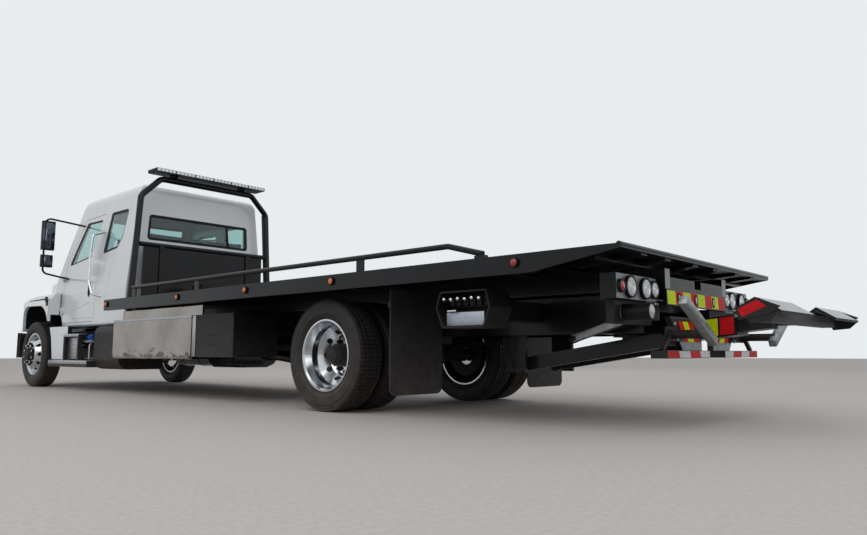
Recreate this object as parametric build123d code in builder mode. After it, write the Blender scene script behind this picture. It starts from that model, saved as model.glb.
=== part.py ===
from build123d import *
from math import hypot, pi, tan
import os

os.makedirs("parts", exist_ok=True)

# Flatbed tow truck in millimetres: X forward, Y left, Z up from the ground,
# origin on the ground under the centre of the overall box

# Whole vehicle
WHEELBASE = 6590.0
FRONT_OVERHANG = 980.0
TAIL_OVERHANG = 2773.0
LIFT_REACH = 727.0
OVERALL_LENGTH = FRONT_OVERHANG + WHEELBASE + TAIL_OVERHANG + LIFT_REACH
F = OVERALL_LENGTH / 2 - FRONT_OVERHANG
R = F - WHEELBASE
T = R - TAIL_OVERHANG
SIDES = (("left", 1), ("right", -1))
GAP = 0.3

# Tyres and wheels
TYRE_R = 465.0
TYRE_HALF_W = 127.5
BEAD_R = 286.0
FLANGE_R = 300.0
RIM_HALF_W = 107.0
FRONT_TRACK = 1055.0
REAR_TRACK = 905.0
DUAL_OFFSET = 166.0
STUD_CIRCLE_R = 142.9
STUD_COUNT = 10
KINGPIN_Y = 850.0
SPINDLE_R = 40.0
BEARING_GAP = 0.05

# Chassis rails
RAIL_Y = (360.0, 435.0)
RAIL_Z = (620.0, 890.0)
RAIL_WALL = 10.0
RAIL_WEB_Y = RAIL_Y[1] - RAIL_WALL - GAP
FRAME_REAR_X = T + 293
FRAME_FRONT_X = F + 700

# Cab
CAB_BACK_X = F - 2460
CAB_FRONT_X = F - 200
CAB_SILL_Z = 840.0
CAB_FLOOR_Z = 925.0
CAB_ROOF_Z = 2665.0
CAB_HALF_W = 1000.0
CAB_WALL = 55.0
DOOR_REAR_X = F - 1585
DOOR_HINGE_X = F - 500

# Bed
DECK_FRONT_X = CAB_BACK_X - 250
DECK_TAIL_X = T
DECK_HALF_W = 1297.5
DECK_TOP_Z = 1115.0
DECK_RAIL_H = 127.0
TILT_PIVOT_X = T + 373
TILT_PIVOT_Z = 930.0
TILT_RAIL_Y = (460.0, 540.0)
TILT_RAIL_Z = (905.0, 1040.0)

# Hoop behind the cab
HOOP_X = CAB_BACK_X - 165
HOOP_TUBE = 76.0

# Wheel lift
LIFT_PIVOT_X = T + 1423
LIFT_PIVOT_Z = 390.0
BOOM_TIP_X = T - LIFT_REACH


def block(x, y, z, mode=Mode.ADD):
    """Box between a low and a high value along each axis."""
    with Locations(((x[0] + x[1]) / 2, (y[0] + y[1]) / 2, (z[0] + z[1]) / 2)):
        Box(x[1] - x[0], y[1] - y[0], z[1] - z[0], mode=mode)


def outline(plane, points, inset=0.0):
    """Closed outline of (a, b) or (a, b, corner radius) points, shrunk by inset."""
    with BuildSketch(plane) as face:
        with BuildLine():
            Polyline(*[point[:2] for point in points], close=True)
        make_face()
        if inset:
            offset(amount=-inset, kind=Kind.INTERSECTION, mode=Mode.REPLACE)
        for point in points:
            if len(point) == 3 and point[2] > inset:
                corner = face.vertices().sort_by_distance((point[0], point[1], 0))[0]
                fillet(corner, point[2] - inset)
    return face.sketch


def side_plate(points, y, mode=Mode.ADD, inset=0.0):
    """Outline of (x, z) points, filled between two values of y."""
    extrude(outline(Plane.XZ.offset(-y[1]), points, inset), amount=y[1] - y[0], mode=mode)


def cross_plate(points, x, mode=Mode.ADD, inset=0.0):
    """Outline of (y, z) points, filled between two values of x."""
    extrude(outline(Plane.YZ.offset(x[0]), points, inset), amount=x[1] - x[0], mode=mode)


def plan_plate(points, z, mode=Mode.ADD, inset=0.0):
    """Outline of (x, y) points, filled between two values of z."""
    extrude(outline(Plane.XY.offset(z[0]), points, inset), amount=z[1] - z[0], mode=mode)


def bar(start, end, width, height, mode=Mode.ADD):
    """Square-cut bar between two points, its width across the truck."""
    run = Vector(*end) - Vector(*start)
    with BuildSketch(Plane(origin=start, x_dir=(0, 1, 0), z_dir=run)) as section:
        Rectangle(width, height)
    extrude(section.sketch, amount=run.length, mode=mode)


def rod(start, end, diameter, mode=Mode.ADD):
    """Round bar between two points."""
    run = Vector(*end) - Vector(*start)
    with BuildSketch(Plane(origin=start, z_dir=run)) as section:
        Circle(diameter / 2)
    extrude(section.sketch, amount=run.length, mode=mode)


def pipe(points, bend, diameter, mode=Mode.ADD):
    """Round bar along straight runs joined by bends of one radius."""
    with BuildLine(mode=Mode.PRIVATE) as path:
        FilletPolyline(*points, radius=bend)
    line = path.line
    with BuildSketch(Plane(origin=line @ 0, z_dir=line % 0), mode=Mode.PRIVATE) as section:
        Circle(diameter / 2)
    sweep(section.sketch, path=line, mode=mode)


def turned(plane, points, mode=Mode.ADD):
    """Outline of (radius, place along the axle) points, turned about the plane's y direction."""
    with BuildSketch(plane) as face:
        with BuildLine():
            Polyline(*points, close=True)
        make_face()
    revolve(face.sketch, axis=Axis(plane.origin, plane.y_dir), mode=mode)


def axle_plane(x, y, z, side):
    """Plane at a wheel's centre: x forward, y out from the truck."""
    return Plane(origin=(x, y * side, z), x_dir=(1, 0, 0), z_dir=(0, 0, side))


def mirrored(points):
    """The outline's right half added to its left half: points run from one centre end to the other."""
    return list(points) + [(-point[0],) + tuple(point[1:]) for point in reversed(points)]


# Pivots of the bed and its cylinders, and of the wheel lift and its cylinder, as (x, z)
TILT_PIN_D = 50.0
TILT_BASE = (R - 700, 700.0)
TILT_EYE = (R + 600, 920.0)
LIFT_BASE = (T + 1713, 742.0)
LIFT_EYE = (T + 693, 640.0)
CYLINDER_Y = 300.0
CYLINDER_PIN_D = 36.0
CYLINDER_EYE_D = 70.0
CYLINDER_EYE_W = 50.0
LUG = 16.0
LUG_GAP = 5.0


def lug_pair(x, y, z, mode=Mode.ADD):
    """Two upright plates, one each side of a cylinder's eye at a given y."""
    for inner in (y - CYLINDER_EYE_W / 2 - LUG_GAP - LUG, y + CYLINDER_EYE_W / 2 + LUG_GAP):
        block(x, (inner, inner + LUG), z, mode)


def lug_pin(place, y):
    """Pin through a pair of lugs."""
    half = CYLINDER_EYE_W / 2 + LUG_GAP + LUG
    rod((place[0], y - half, place[1]), (place[0], y + half, place[1]), CYLINDER_PIN_D)


# Frame rails with their crossmembers
CROSSMEMBER_X = (FRAME_REAR_X + 60, T + 1833, R - 780, R + 850, R + 1850, R + 2850, R + 3800, F - 1750,
                 F + 560)
with BuildPart() as frame_rails:
    cross_plate([(RAIL_Y[0], RAIL_Z[0]), (RAIL_Y[1], RAIL_Z[0]), (RAIL_Y[1], RAIL_Z[1]), (RAIL_Y[0], RAIL_Z[1]),
                 (RAIL_Y[0], RAIL_Z[1] - RAIL_WALL), (RAIL_Y[1] - RAIL_WALL, RAIL_Z[1] - RAIL_WALL),
                 (RAIL_Y[1] - RAIL_WALL, RAIL_Z[0] + RAIL_WALL), (RAIL_Y[0], RAIL_Z[0] + RAIL_WALL)],
                (FRAME_REAR_X, FRAME_FRONT_X))
    mirror(about=Plane.XZ)
    for x in CROSSMEMBER_X:
        block((x - 30, x + 30), (-RAIL_Y[1] + RAIL_WALL, RAIL_Y[1] - RAIL_WALL), (RAIL_Z[1] - 110, RAIL_Z[1] - 30))
    block((F - 60, F + 60), (-RAIL_Y[1], RAIL_Y[1]), (RAIL_Z[0] - 40, RAIL_Z[0]))
    for side in (1, -1):
        block((TILT_PIVOT_X - 60, TILT_PIVOT_X + 60), sorted((side * 400, side * RAIL_Y[1])), (RAIL_Z[1] - 50, TILT_PIVOT_Z + 45))
        rod((TILT_PIVOT_X, side * 390, TILT_PIVOT_Z), (TILT_PIVOT_X, side * 450, TILT_PIVOT_Z),
            TILT_PIN_D + 2 * BEARING_GAP, Mode.SUBTRACT)
        lug_pair((R - 790, TILT_BASE[0] + 36), side * CYLINDER_Y, (TILT_BASE[1] - 36, RAIL_Z[1] - 40))
        lug_pin(TILT_BASE, side * CYLINDER_Y)
        block((LIFT_PIVOT_X - 100, LIFT_PIVOT_X + 100), sorted((side * 330, side * RAIL_Y[0])), (LIFT_PIVOT_Z - 60, RAIL_Z[0] + 90))
        rod((LIFT_PIVOT_X, side * 325, LIFT_PIVOT_Z), (LIFT_PIVOT_X, side * 365, LIFT_PIVOT_Z),
            TILT_PIN_D + 2 * BEARING_GAP, Mode.SUBTRACT)
    lug_pair((LIFT_BASE[0] - 36, T + 1813), 0, (LIFT_BASE[1] - 36, RAIL_Z[1] - 40))
    lug_pin(LIFT_BASE, 0)
frame_rails.part.label = "frame_rails"
export_step(frame_rails.part, "parts/frame_rails.step")

# Leaf springs: an arched pack on each side of an axle, hung from the rails at its ends
SPRING_Y = (365.0, 430.0)
SPRING_EYE_Z = RAIL_Z[0] - 60


def leaf_springs(axle_x, half_length, seat_z):
    end, wing = half_length, half_length - 60
    side_plate([(axle_x - end, SPRING_EYE_Z), (axle_x - 80, seat_z), (axle_x + 80, seat_z),
                (axle_x + end, SPRING_EYE_Z), (axle_x + end, RAIL_Z[0]), (axle_x + wing, RAIL_Z[0]),
                (axle_x + wing - 10, RAIL_Z[0] - 38), (axle_x + 80, seat_z + 62), (axle_x - 80, seat_z + 62),
                (axle_x - wing + 10, RAIL_Z[0] - 38), (axle_x - wing, RAIL_Z[0]), (axle_x - end, RAIL_Z[0])], SPRING_Y)


# Front axle beam, dropped in the middle, with a boss at each kingpin
BOSS_Z = (TYRE_R - 70, TYRE_R + 70)
with BuildPart() as front_axle:
    leaf_springs(F, 620.0, 452.0)
    mirror(about=Plane.XZ)
    cross_plate([(-KINGPIN_Y, 510), (-KINGPIN_Y, 420), (-560, 352), (560, 352), (KINGPIN_Y, 420),
                 (KINGPIN_Y, 510), (560, 452), (-560, 452)], (F - 45, F + 45))
    for side in (1, -1):
        rod((F, side * KINGPIN_Y, BOSS_Z[0]), (F, side * KINGPIN_Y, BOSS_Z[1]), 100)
        rod((F, side * KINGPIN_Y, BOSS_Z[0]), (F, side * KINGPIN_Y, BOSS_Z[1]), 2 * (20 + BEARING_GAP), Mode.SUBTRACT)
front_axle.part.label = "front_axle"
export_step(front_axle.part, "parts/front_axle.step")

# Steering knuckles: a fork round the axle's boss, the kingpin, the spindle and an arm to the rear
ARM_TIP = (F - 200, KINGPIN_Y - 60)
FORK_GAP = 0.5
for name, side in SIDES:
    with BuildPart() as knuckle:
        for z in ((BOSS_Z[0] - 40, BOSS_Z[0] - FORK_GAP), (BOSS_Z[1] + FORK_GAP, BOSS_Z[1] + 40)):
            rod((F, side * KINGPIN_Y, z[0]), (F, side * KINGPIN_Y, z[1]), 96)
            block((F - 45, F + 45), sorted((side * KINGPIN_Y, side * (KINGPIN_Y + 85))), z)
        block((F - 45, F + 45), sorted((side * (KINGPIN_Y + 56), side * (KINGPIN_Y + 85))), (BOSS_Z[0] - 40, BOSS_Z[1] + 40))
        rod((F, side * KINGPIN_Y, BOSS_Z[0] - 40), (F, side * KINGPIN_Y, BOSS_Z[1] + 40), 40)
        rod((F, side * (KINGPIN_Y + 80), TYRE_R), (F, side * (FRONT_TRACK + 95), TYRE_R), 2 * SPINDLE_R)
        plan_plate([(F, side * (KINGPIN_Y - 40)), (F, side * (KINGPIN_Y + 40)), (ARM_TIP[0] - 30, side * (ARM_TIP[1] + 25)),
                    (ARM_TIP[0] - 30, side * (ARM_TIP[1] - 25))], (BOSS_Z[0] - 40, BOSS_Z[0] - 15))
    knuckle.part.label = f"knuckle_{name}"
    export_step(knuckle.part, f"parts/knuckle_{name}.step")

TIE_ROD_D = 36.0
with BuildPart() as tie_rod:
    tie_z = BOSS_Z[0] - 40 - FORK_GAP - TIE_ROD_D / 2
    rod((ARM_TIP[0], -ARM_TIP[1] - 15, tie_z), (ARM_TIP[0], ARM_TIP[1] + 15, tie_z), TIE_ROD_D)
tie_rod.part.label = "tie_rod"
export_step(tie_rod.part, "parts/tie_rod.step")

# Rear axle housing with its centre bowl, pinion nose, spring seats and spindles
REAR_TUBE_R = 65.0
REAR_SPINDLE_R = 50.0
with BuildPart() as rear_axle:
    leaf_springs(R, 700.0, 530.0)
    mirror(about=Plane.XZ)
    turned(axle_plane(R, 0, TYRE_R, 1),
           [(0, -630), (REAR_TUBE_R, -630), (REAR_TUBE_R, -290), (170, -150), (195, -60), (195, 60), (170, 150),
            (REAR_TUBE_R, 290), (REAR_TUBE_R, 630), (0, 630)])
    rod((R, -REAR_TRACK - 150, TYRE_R), (R, REAR_TRACK + 150, TYRE_R), 2 * REAR_SPINDLE_R)
    rod((R, 0, TYRE_R), (R + 330, 0, TYRE_R + 20), 150)
    for side in (1, -1):
        block((R - 60, R + 60), sorted((side * SPRING_Y[0], side * SPRING_Y[1])), (TYRE_R, 530))
rear_axle.part.label = "rear_axle"
export_step(rear_axle.part, "parts/rear_axle.step")

# Tyres: half outline as (out from the middle, radius); a flat-faced wedge of it is repeated around the axle
TYRE_SIDES = 48
TYRE_HALF = ((95.0, BEAD_R), (99.0, FLANGE_R + 6), (TYRE_HALF_W, 375.0), (112.0, 446.0), (94.0, TYRE_R))
WEDGE_HALF_W = 2 * TYRE_R * tan(pi / TYRE_SIDES)
with BuildPart() as tyre_wedge:
    with BuildSketch(Plane.YZ):
        with BuildLine():
            Polyline(*TYRE_HALF, *[(-out, radius) for out, radius in reversed(TYRE_HALF)], close=True)
        make_face()
    extrude(amount=WEDGE_HALF_W, both=True)
    with BuildSketch(Plane.XZ):
        with BuildLine():
            Polyline((0, 0), (WEDGE_HALF_W, 2 * TYRE_R), (-WEDGE_HALF_W, 2 * TYRE_R), close=True)
        make_face()
    extrude(amount=2 * TYRE_HALF_W, both=True, mode=Mode.INTERSECT)
with BuildPart() as tyre_ring:
    add(tyre_wedge.part)
    add([tyre_wedge.part.rotate(Axis.Y, step * 360 / TYRE_SIDES) for step in range(1, TYRE_SIDES)])

# Rim outline, as (radius, out from the middle), and the dished disc that joins it to its hub face
RIM_WALL = 9.0


def rim_outline(centre):
    half = [(FLANGE_R, RIM_HALF_W), (FLANGE_R, 99.5), (BEAD_R - GAP, 95.5), (262, 40)]
    inner = [(262 - RIM_WALL, 40), (BEAD_R - RIM_WALL, 95), (FLANGE_R - 14, RIM_HALF_W)]
    return ([(r, centre + b) for r, b in half] + [(r, centre - b) for r, b in reversed(half)]
            + [(r, centre - b) for r, b in reversed(inner)] + [(r, centre + b) for r, b in inner])


def disc_outline(rim_place, hub_place, bore):
    """Disc from the rim's well to its flat face, with the outward side given by the sign of the dish."""
    out = 1 if hub_place > rim_place else -1
    return [(256, rim_place - 12 * out), (256, rim_place + 12 * out), (185, hub_place - 4 * out),
            (170, hub_place + 4 * out), (bore, hub_place + 4 * out), (bore, hub_place - 16 * out),
            (165, hub_place - 16 * out), (190, hub_place - 40 * out)]


def hand_holes(plane, place, depth):
    """Ring of round holes through the sloped part of a disc."""
    face = Plane(origin=plane.origin, x_dir=plane.x_dir, z_dir=plane.y_dir)
    with BuildSketch(face.offset(place)) as holes:
        with PolarLocations(213, STUD_COUNT):
            Circle(26)
    extrude(holes.sketch, amount=depth, mode=Mode.SUBTRACT)


def lug_nuts(plane, place, height):
    """Ring of six-sided nuts standing on a disc's face."""
    face = Plane(origin=plane.origin, x_dir=plane.x_dir, z_dir=plane.y_dir)
    with BuildSketch(face.offset(place)) as nuts:
        with PolarLocations(STUD_CIRCLE_R, STUD_COUNT, start_angle=18):
            RegularPolygon(19, 6)
    extrude(nuts.sketch, amount=height)


FRONT_DISH = 150.0
for name, side in SIDES:
    plane = axle_plane(F, FRONT_TRACK, TYRE_R, side)
    with BuildPart() as tyre:
        with Locations(plane.origin):
            add(tyre_ring.part)
    tyre.part.label = f"tyre_front_{name}"
    export_step(tyre.part, f"parts/tyre_front_{name}.step")

    with BuildPart() as wheel:
        turned(plane, rim_outline(0))
        turned(plane, disc_outline(30, FRONT_DISH, 60))
        hand_holes(plane, 0, 200)
        turned(plane, [(SPINDLE_R + BEARING_GAP, -90), (200, -90), (200, 20), (95, 60), (88, FRONT_DISH + 40),
                       (70, FRONT_DISH + 62), (0, FRONT_DISH + 62), (0, 100), (SPINDLE_R + BEARING_GAP, 100)])
        lug_nuts(plane, FRONT_DISH + 4, 34)
    wheel.part.label = f"wheel_front_{name}"
    export_step(wheel.part, f"parts/wheel_front_{name}.step")

    plane = axle_plane(R, REAR_TRACK, TYRE_R, side)
    with BuildPart() as tyres:
        with Locations(plane.origin + plane.y_dir * DUAL_OFFSET, plane.origin - plane.y_dir * DUAL_OFFSET):
            add(tyre_ring.part)
    tyres.part.label = f"tyres_rear_{name}"
    export_step(tyres.part, f"parts/tyres_rear_{name}.step")

    with BuildPart() as wheels:
        turned(plane, rim_outline(DUAL_OFFSET))
        turned(plane, rim_outline(-DUAL_OFFSET))
        turned(plane, disc_outline(DUAL_OFFSET - 30, 16, 90))
        turned(plane, disc_outline(30 - DUAL_OFFSET, -4, 90))
        turned(plane, [(REAR_SPINDLE_R + BEARING_GAP, -230), (205, -230), (205, -60), (150, -24), (150, 12), (98, 20), (92, 150),
                       (60, 205), (0, 205), (0, 155), (REAR_SPINDLE_R + BEARING_GAP, 155)])
        lug_nuts(plane, 12, 34)
    wheels.part.label = f"wheels_rear_{name}"
    export_step(wheels.part, f"parts/wheels_rear_{name}.step")

# Engine, gearbox and shaft
with BuildPart() as engine_block:
    block((F - 190, F + 520), (-290, 290), (680, 1240))
    block((F + 620, F + 690), (-330, 330), (720, 1180))
    block((F + 640, F + 670), (-RAIL_WEB_Y, RAIL_WEB_Y), (700, 722))
    for side in (1, -1):
        block((F + 60, F + 140), sorted((side * 280, side * RAIL_WEB_Y)), (RAIL_Z[0] + RAIL_WALL + GAP, 720))
engine_block.part.label = "engine_block"
export_step(engine_block.part, "parts/engine_block.step")

GEARBOX_REAR_X = F - 1250
with BuildPart() as driveline:
    side_plate([(F - 190, 640), (F - 190, 830), (F - 420, 830), (GEARBOX_REAR_X, 760), (GEARBOX_REAR_X, 620),
                (F - 500, 560)], (-190, 190))
    rod((GEARBOX_REAR_X, 0, 680), (R + 331.6, 0, TYRE_R + 21), 100)
driveline.part.label = "driveline"
export_step(driveline.part, "parts/driveline.step")

# Exhaust: a muffler below the right rail and its bright pipe end
with BuildPart() as exhaust:
    rod((F - 3800, -230, 440), (F - 2900, -230, 440), 230)
    pipe([(F - 3790, -230, 440), (F - 4020, -230, 440), (F - 4300, -640, 330), (F - 4500, -1000, 330)], 120, 100)
    pipe([(F - 2910, -230, 440), (F - 1900, -240, 500), (F - 1500, -260, 560), (F - 1100, -262, 640)], 120, 100)
    for x, low in ((R + 2850, 550), (R + 3800, 485)):
        block((x - 15, x + 15), (-245, -215), (low, RAIL_Z[1] - 110 - GAP))
exhaust.part.label = "exhaust"
export_step(exhaust.part, "parts/exhaust.step")

# Cab: side view, front view and the bow of the windscreen, each shrunk for the inner wall
SCREEN_BASE = (F - 130, 1575)
SCREEN_TOP = (F - 740, 2660)
SCREEN_BOW = 100.0
CAB_SIDE = [(CAB_BACK_X, CAB_SILL_Z, 40), (CAB_BACK_X, CAB_ROOF_Z, 130), SCREEN_TOP + (330,), SCREEN_BASE,
            (CAB_FRONT_X, 1500), (CAB_FRONT_X, CAB_SILL_Z, 40)]
CAB_FRONT = mirrored([(CAB_HALF_W - 10, CAB_SILL_Z, 30), (CAB_HALF_W - 10, 1300), (925, 1950),
                      (838, CAB_ROOF_Z + 15, 170)])


def cab_form(inset):
    """The cab's closed form, shrunk by inset."""
    rise = Vector(SCREEN_TOP[0] - SCREEN_BASE[0], 0, SCREEN_TOP[1] - SCREEN_BASE[1])
    screen = Plane(origin=(SCREEN_BASE[0], 0, SCREEN_BASE[1]), x_dir=(0, 1, 0), z_dir=rise)
    with BuildPart() as form:
        side_plate(CAB_SIDE, (-1100, 1100), inset=inset)
        cross_plate(CAB_FRONT, (CAB_BACK_X - 100, F + 200), Mode.INTERSECT, inset)
        with BuildSketch(screen) as bow:
            with BuildLine():
                ThreePointArc((-1000, SCREEN_BOW), (0, 0), (1000, SCREEN_BOW))
                Polyline((1000, SCREEN_BOW), (1000, 4000), (-1000, 4000), (-1000, SCREEN_BOW))
            make_face()
            if inset:
                offset(amount=-inset, kind=Kind.INTERSECTION, mode=Mode.REPLACE)
        extrude(bow.sketch, amount=2500, both=True, mode=Mode.INTERSECT)
    return form.part


ARCH = [(F - 640, 280), (F - 540, 760, 300), (F - 400, 1150, 330), (F + 470, 1165, 190), (F + 478, 280)]
ARCH_ROOM = 20.0
WHEEL_WALL_Y = 570.0
DOOR_OUTLINE = [(DOOR_HINGE_X, CAB_SILL_Z + 60, 40), (DOOR_HINGE_X, 1760, 60), (F - 894, 2345, 60), (F - 1555, 2362, 60),
                (DOOR_REAR_X + 35, 2150), (DOOR_REAR_X + 40, CAB_SILL_Z + 60, 60)]
DOOR_WINDOW = [(F - 549, 1710, 25), (F - 956, 2301, 50), (F - 1466, 2293, 40), (F - 1422, 2133), (F - 1271, 1789, 50)]
QUARTER_WINDOW = [(F - 1700, 2358, 50), (F - 2211, 2352, 50), (F - 2150, 1972), (F - 2034, 1840, 40),
                  (F - 1610, 1795, 40), (F - 1669, 2161)]
REAR_WINDOW = mirrored([(748, 1930, 45), (726, 2265, 45)])
SCREEN_WINDOW = mirrored([(830, 1655, 60), (735, 2440, 70)])
CAB_SHUT_GAP = 6.0
HINGE_Y = CAB_HALF_W + 4
HINGE_X = DOOR_HINGE_X + CAB_SHUT_GAP / 2
HINGE_D = 24.0
HINGE_Z = (1010.0, 1490.0)
HINGE_H = 26.0
cab_outer = cab_form(0)
with BuildPart() as cabin:
    add(cab_form(CAB_WALL))
    for low, high in ((WHEEL_WALL_Y, 1200), (-1200, -WHEEL_WALL_Y)):
        side_plate(ARCH, (low, high), Mode.SUBTRACT, -ARCH_ROOM - CAB_WALL)
    block((CAB_BACK_X, F), (-1000, 1000), (CAB_SILL_Z, CAB_FLOOR_Z + CAB_WALL), Mode.SUBTRACT)
cab_inner = cabin.part
door_inner = cab_form(CAB_WALL)
with BuildPart() as doorways:
    side_plate(DOOR_OUTLINE, (500, 1100), inset=-CAB_SHUT_GAP)
    mirror(about=Plane.XZ)
    add(cab_form(CAB_WALL + CAB_SHUT_GAP), mode=Mode.SUBTRACT)
pane_outer = cab_form(14)
cab_clear = cab_form(-GAP)
pane_inner = cab_form(20)

with BuildPart() as cab_shell:
    add(cab_outer)
    add(cab_inner, mode=Mode.SUBTRACT)
    cross_plate(SCREEN_WINDOW, (F - 900, F + 100), Mode.SUBTRACT)
    cross_plate(REAR_WINDOW, (CAB_BACK_X - 50, CAB_BACK_X + 150), Mode.SUBTRACT)
    add(doorways.part, mode=Mode.SUBTRACT)
    for low, high in ((500, 1100), (-1100, -500)):
        side_plate(QUARTER_WINDOW, (low, high), Mode.SUBTRACT)
    for low, high in ((WHEEL_WALL_Y, 1200), (-1200, -WHEEL_WALL_Y)):
        side_plate(ARCH, (low, high), Mode.SUBTRACT, -ARCH_ROOM)
    block((CAB_BACK_X - 10, F), (-540, 540), (CAB_SILL_Z - 10, CAB_FLOOR_Z), Mode.SUBTRACT)
    for x in (CAB_BACK_X + 200, F - 400):
        for side in (1, -1):
            block((x - 50, x + 50), sorted((side * RAIL_Y[0], side * RAIL_Y[1])), (RAIL_Z[1], CAB_FLOOR_Z))
    for z in HINGE_Z:
        for side in (1, -1):
            for low in (z, z + 2 * HINGE_H + 2 * GAP):
                rod((HINGE_X, side * HINGE_Y, low), (HINGE_X, side * HINGE_Y, low + HINGE_H), HINGE_D)
                block((HINGE_X, HINGE_X + 46), sorted((side * (HINGE_Y - 44), side * (HINGE_Y - 2))), (low, low + HINGE_H))
            rod((HINGE_X, side * HINGE_Y, z), (HINGE_X, side * HINGE_Y, z + 3 * HINGE_H), HINGE_D / 2)
cab_shell.part.label = "cab_shell"
export_step(cab_shell.part, "parts/cab_shell.step")

with BuildPart() as glass_skin:
    add(pane_outer)
    add(pane_inner, mode=Mode.SUBTRACT)

with BuildPart() as screen_pane:
    add(glass_skin.part)
    cross_plate(SCREEN_WINDOW, (F - 900, F + 100), Mode.INTERSECT, GAP)
with BuildPart() as rear_pane:
    add(glass_skin.part)
    cross_plate(REAR_WINDOW, (CAB_BACK_X - 50, CAB_BACK_X + 150), Mode.INTERSECT, GAP)
with BuildPart() as quarter_pane:
    add(glass_skin.part)
    side_plate(QUARTER_WINDOW, (500, 1100), Mode.INTERSECT, GAP)
with BuildPart() as cab_glass:
    add(screen_pane.part)
    add(rear_pane.part)
    add(quarter_pane.part)
    add(quarter_pane.part.mirror(Plane.XZ))
cab_glass.part.label = "cab_glass"
export_step(cab_glass.part, "parts/cab_glass.step")

# Doors, each as thick as the cab's wall, with its pane and its mirror
for name, side in SIDES:
    reach = sorted((side * 500, side * 1100))
    with BuildPart() as door:
        add(cab_outer)
        add(door_inner, mode=Mode.SUBTRACT)
        side_plate(DOOR_OUTLINE, reach, Mode.INTERSECT)
        side_plate(DOOR_WINDOW, reach, Mode.SUBTRACT)
        for z in HINGE_Z:
            block((HINGE_X - 46, HINGE_X), sorted((side * (HINGE_Y - 44), side * (HINGE_Y - 2))),
                  (z + HINGE_H + GAP, z + 2 * HINGE_H + GAP))
            rod((HINGE_X, side * HINGE_Y, z + HINGE_H + GAP), (HINGE_X, side * HINGE_Y, z + 2 * HINGE_H + GAP), HINGE_D)
            rod((HINGE_X, side * HINGE_Y, z), (HINGE_X, side * HINGE_Y, z + 3 * HINGE_H),
                HINGE_D / 2 + 2 * BEARING_GAP, Mode.SUBTRACT)
    door.part.label = f"door_{name}"
    export_step(door.part, f"parts/door_{name}.step")

    with BuildPart() as door_glass:
        add(glass_skin.part)
        side_plate(DOOR_WINDOW, reach, Mode.INTERSECT, GAP)
    door_glass.part.label = f"door_glass_{name}"
    export_step(door_glass.part, f"parts/door_glass_{name}.step")

    with BuildPart() as mirrors:
        pipe([(F - 885, side * 860, 2262), (F - 700, side * 1360, 2350), (F - 700, side * 1360, 1580),
              (F - 600, side * 940, 1520)], 70, 26)
        add(cab_clear, mode=Mode.SUBTRACT)
        block((F - 705, F - 640), sorted((side * 1225, side * 1385)), (1905, 2310))
        block((F - 700, F - 640), sorted((side * 1235, side * 1380)), (1665, 1835))
    mirrors.part.label = f"mirror_{name}"
    export_step(mirrors.part, f"parts/mirror_{name}.step")

# Bright grab bars behind the doors, ending on the cab's skin
GRAB_D = 28.0
with BuildPart() as grab_bars:
    pipe([(F - 1618, 860, 2105), (F - 1632, 1085, 2045), (F - 1611, 1100, 1735), (F - 1613, 1100, 1420),
          (F - 1700, 1090, 1250), (F - 1790, 900, 1190)], 50, GRAB_D)
    add(cab_clear, mode=Mode.SUBTRACT)
    mirror(about=Plane.XZ)
grab_bars.part.label = "grab_bars"
export_step(grab_bars.part, "parts/grab_bars.step")

# Seats, two in front and a bench behind, each a cushion and a back on a plinth
SEAT_Z = CAB_FLOOR_Z + CAB_WALL
with BuildPart() as seats:
    for x, y, half_width in ((F - 1350, 470, 250), (F - 1350, -470, 250), (CAB_BACK_X + 330, 0, 720)):
        block((x - 180, x + 160), (y - half_width + 60, y + half_width - 60), (SEAT_Z, SEAT_Z + 260))
        side_plate([(x - 250, SEAT_Z + 260), (x + 250, SEAT_Z + 260, 40), (x + 260, SEAT_Z + 410, 50),
                    (x - 120, SEAT_Z + 390), (x - 140, SEAT_Z + 1080, 50), (x - 250, SEAT_Z + 1080, 40)],
                   (y - half_width, y + half_width))
seats.part.label = "seats"
export_step(seats.part, "parts/seats.step")

# Dashboard across the cabin, with the steering column and wheel on the left
WHEEL_CENTRE = (F - 800, 470, SEAT_Z + 700)
COLUMN_FOOT = (F - 640, 470, SEAT_Z + 545)
COLUMN_D = 56.0
with BuildPart() as dashboard:
    side_plate([(F - 690, SEAT_Z + 380, 40), (F - 330, SEAT_Z + 300), (F - 330, SEAT_Z + 560), (F - 560, SEAT_Z + 600, 60),
                (F - 690, SEAT_Z + 520, 40)], (-880, 880))
    block((F - 420, F - 300), (-500, 500), (SEAT_Z, SEAT_Z + 320))
    rod(WHEEL_CENTRE, COLUMN_FOOT, COLUMN_D + 2 * GAP, Mode.SUBTRACT)
    tilt = Plane(origin=WHEEL_CENTRE, x_dir=(0, 1, 0), z_dir=(-0.72, 0, 0.69))
    with BuildSketch(tilt.offset(-14)) as rim:
        Circle(225)
        Circle(197, mode=Mode.SUBTRACT)
        Circle(62)
        for angle in (0, 120, 240):
            with Locations(Location((0, 0, 0), (0, 0, angle + 30))):
                Rectangle(211, 34, align=(Align.MIN, Align.CENTER))
    extrude(rim.sketch, amount=28)
    rod(WHEEL_CENTRE, COLUMN_FOOT, COLUMN_D)
dashboard.part.label = "dashboard"
export_step(dashboard.part, "parts/dashboard.step")

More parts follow.
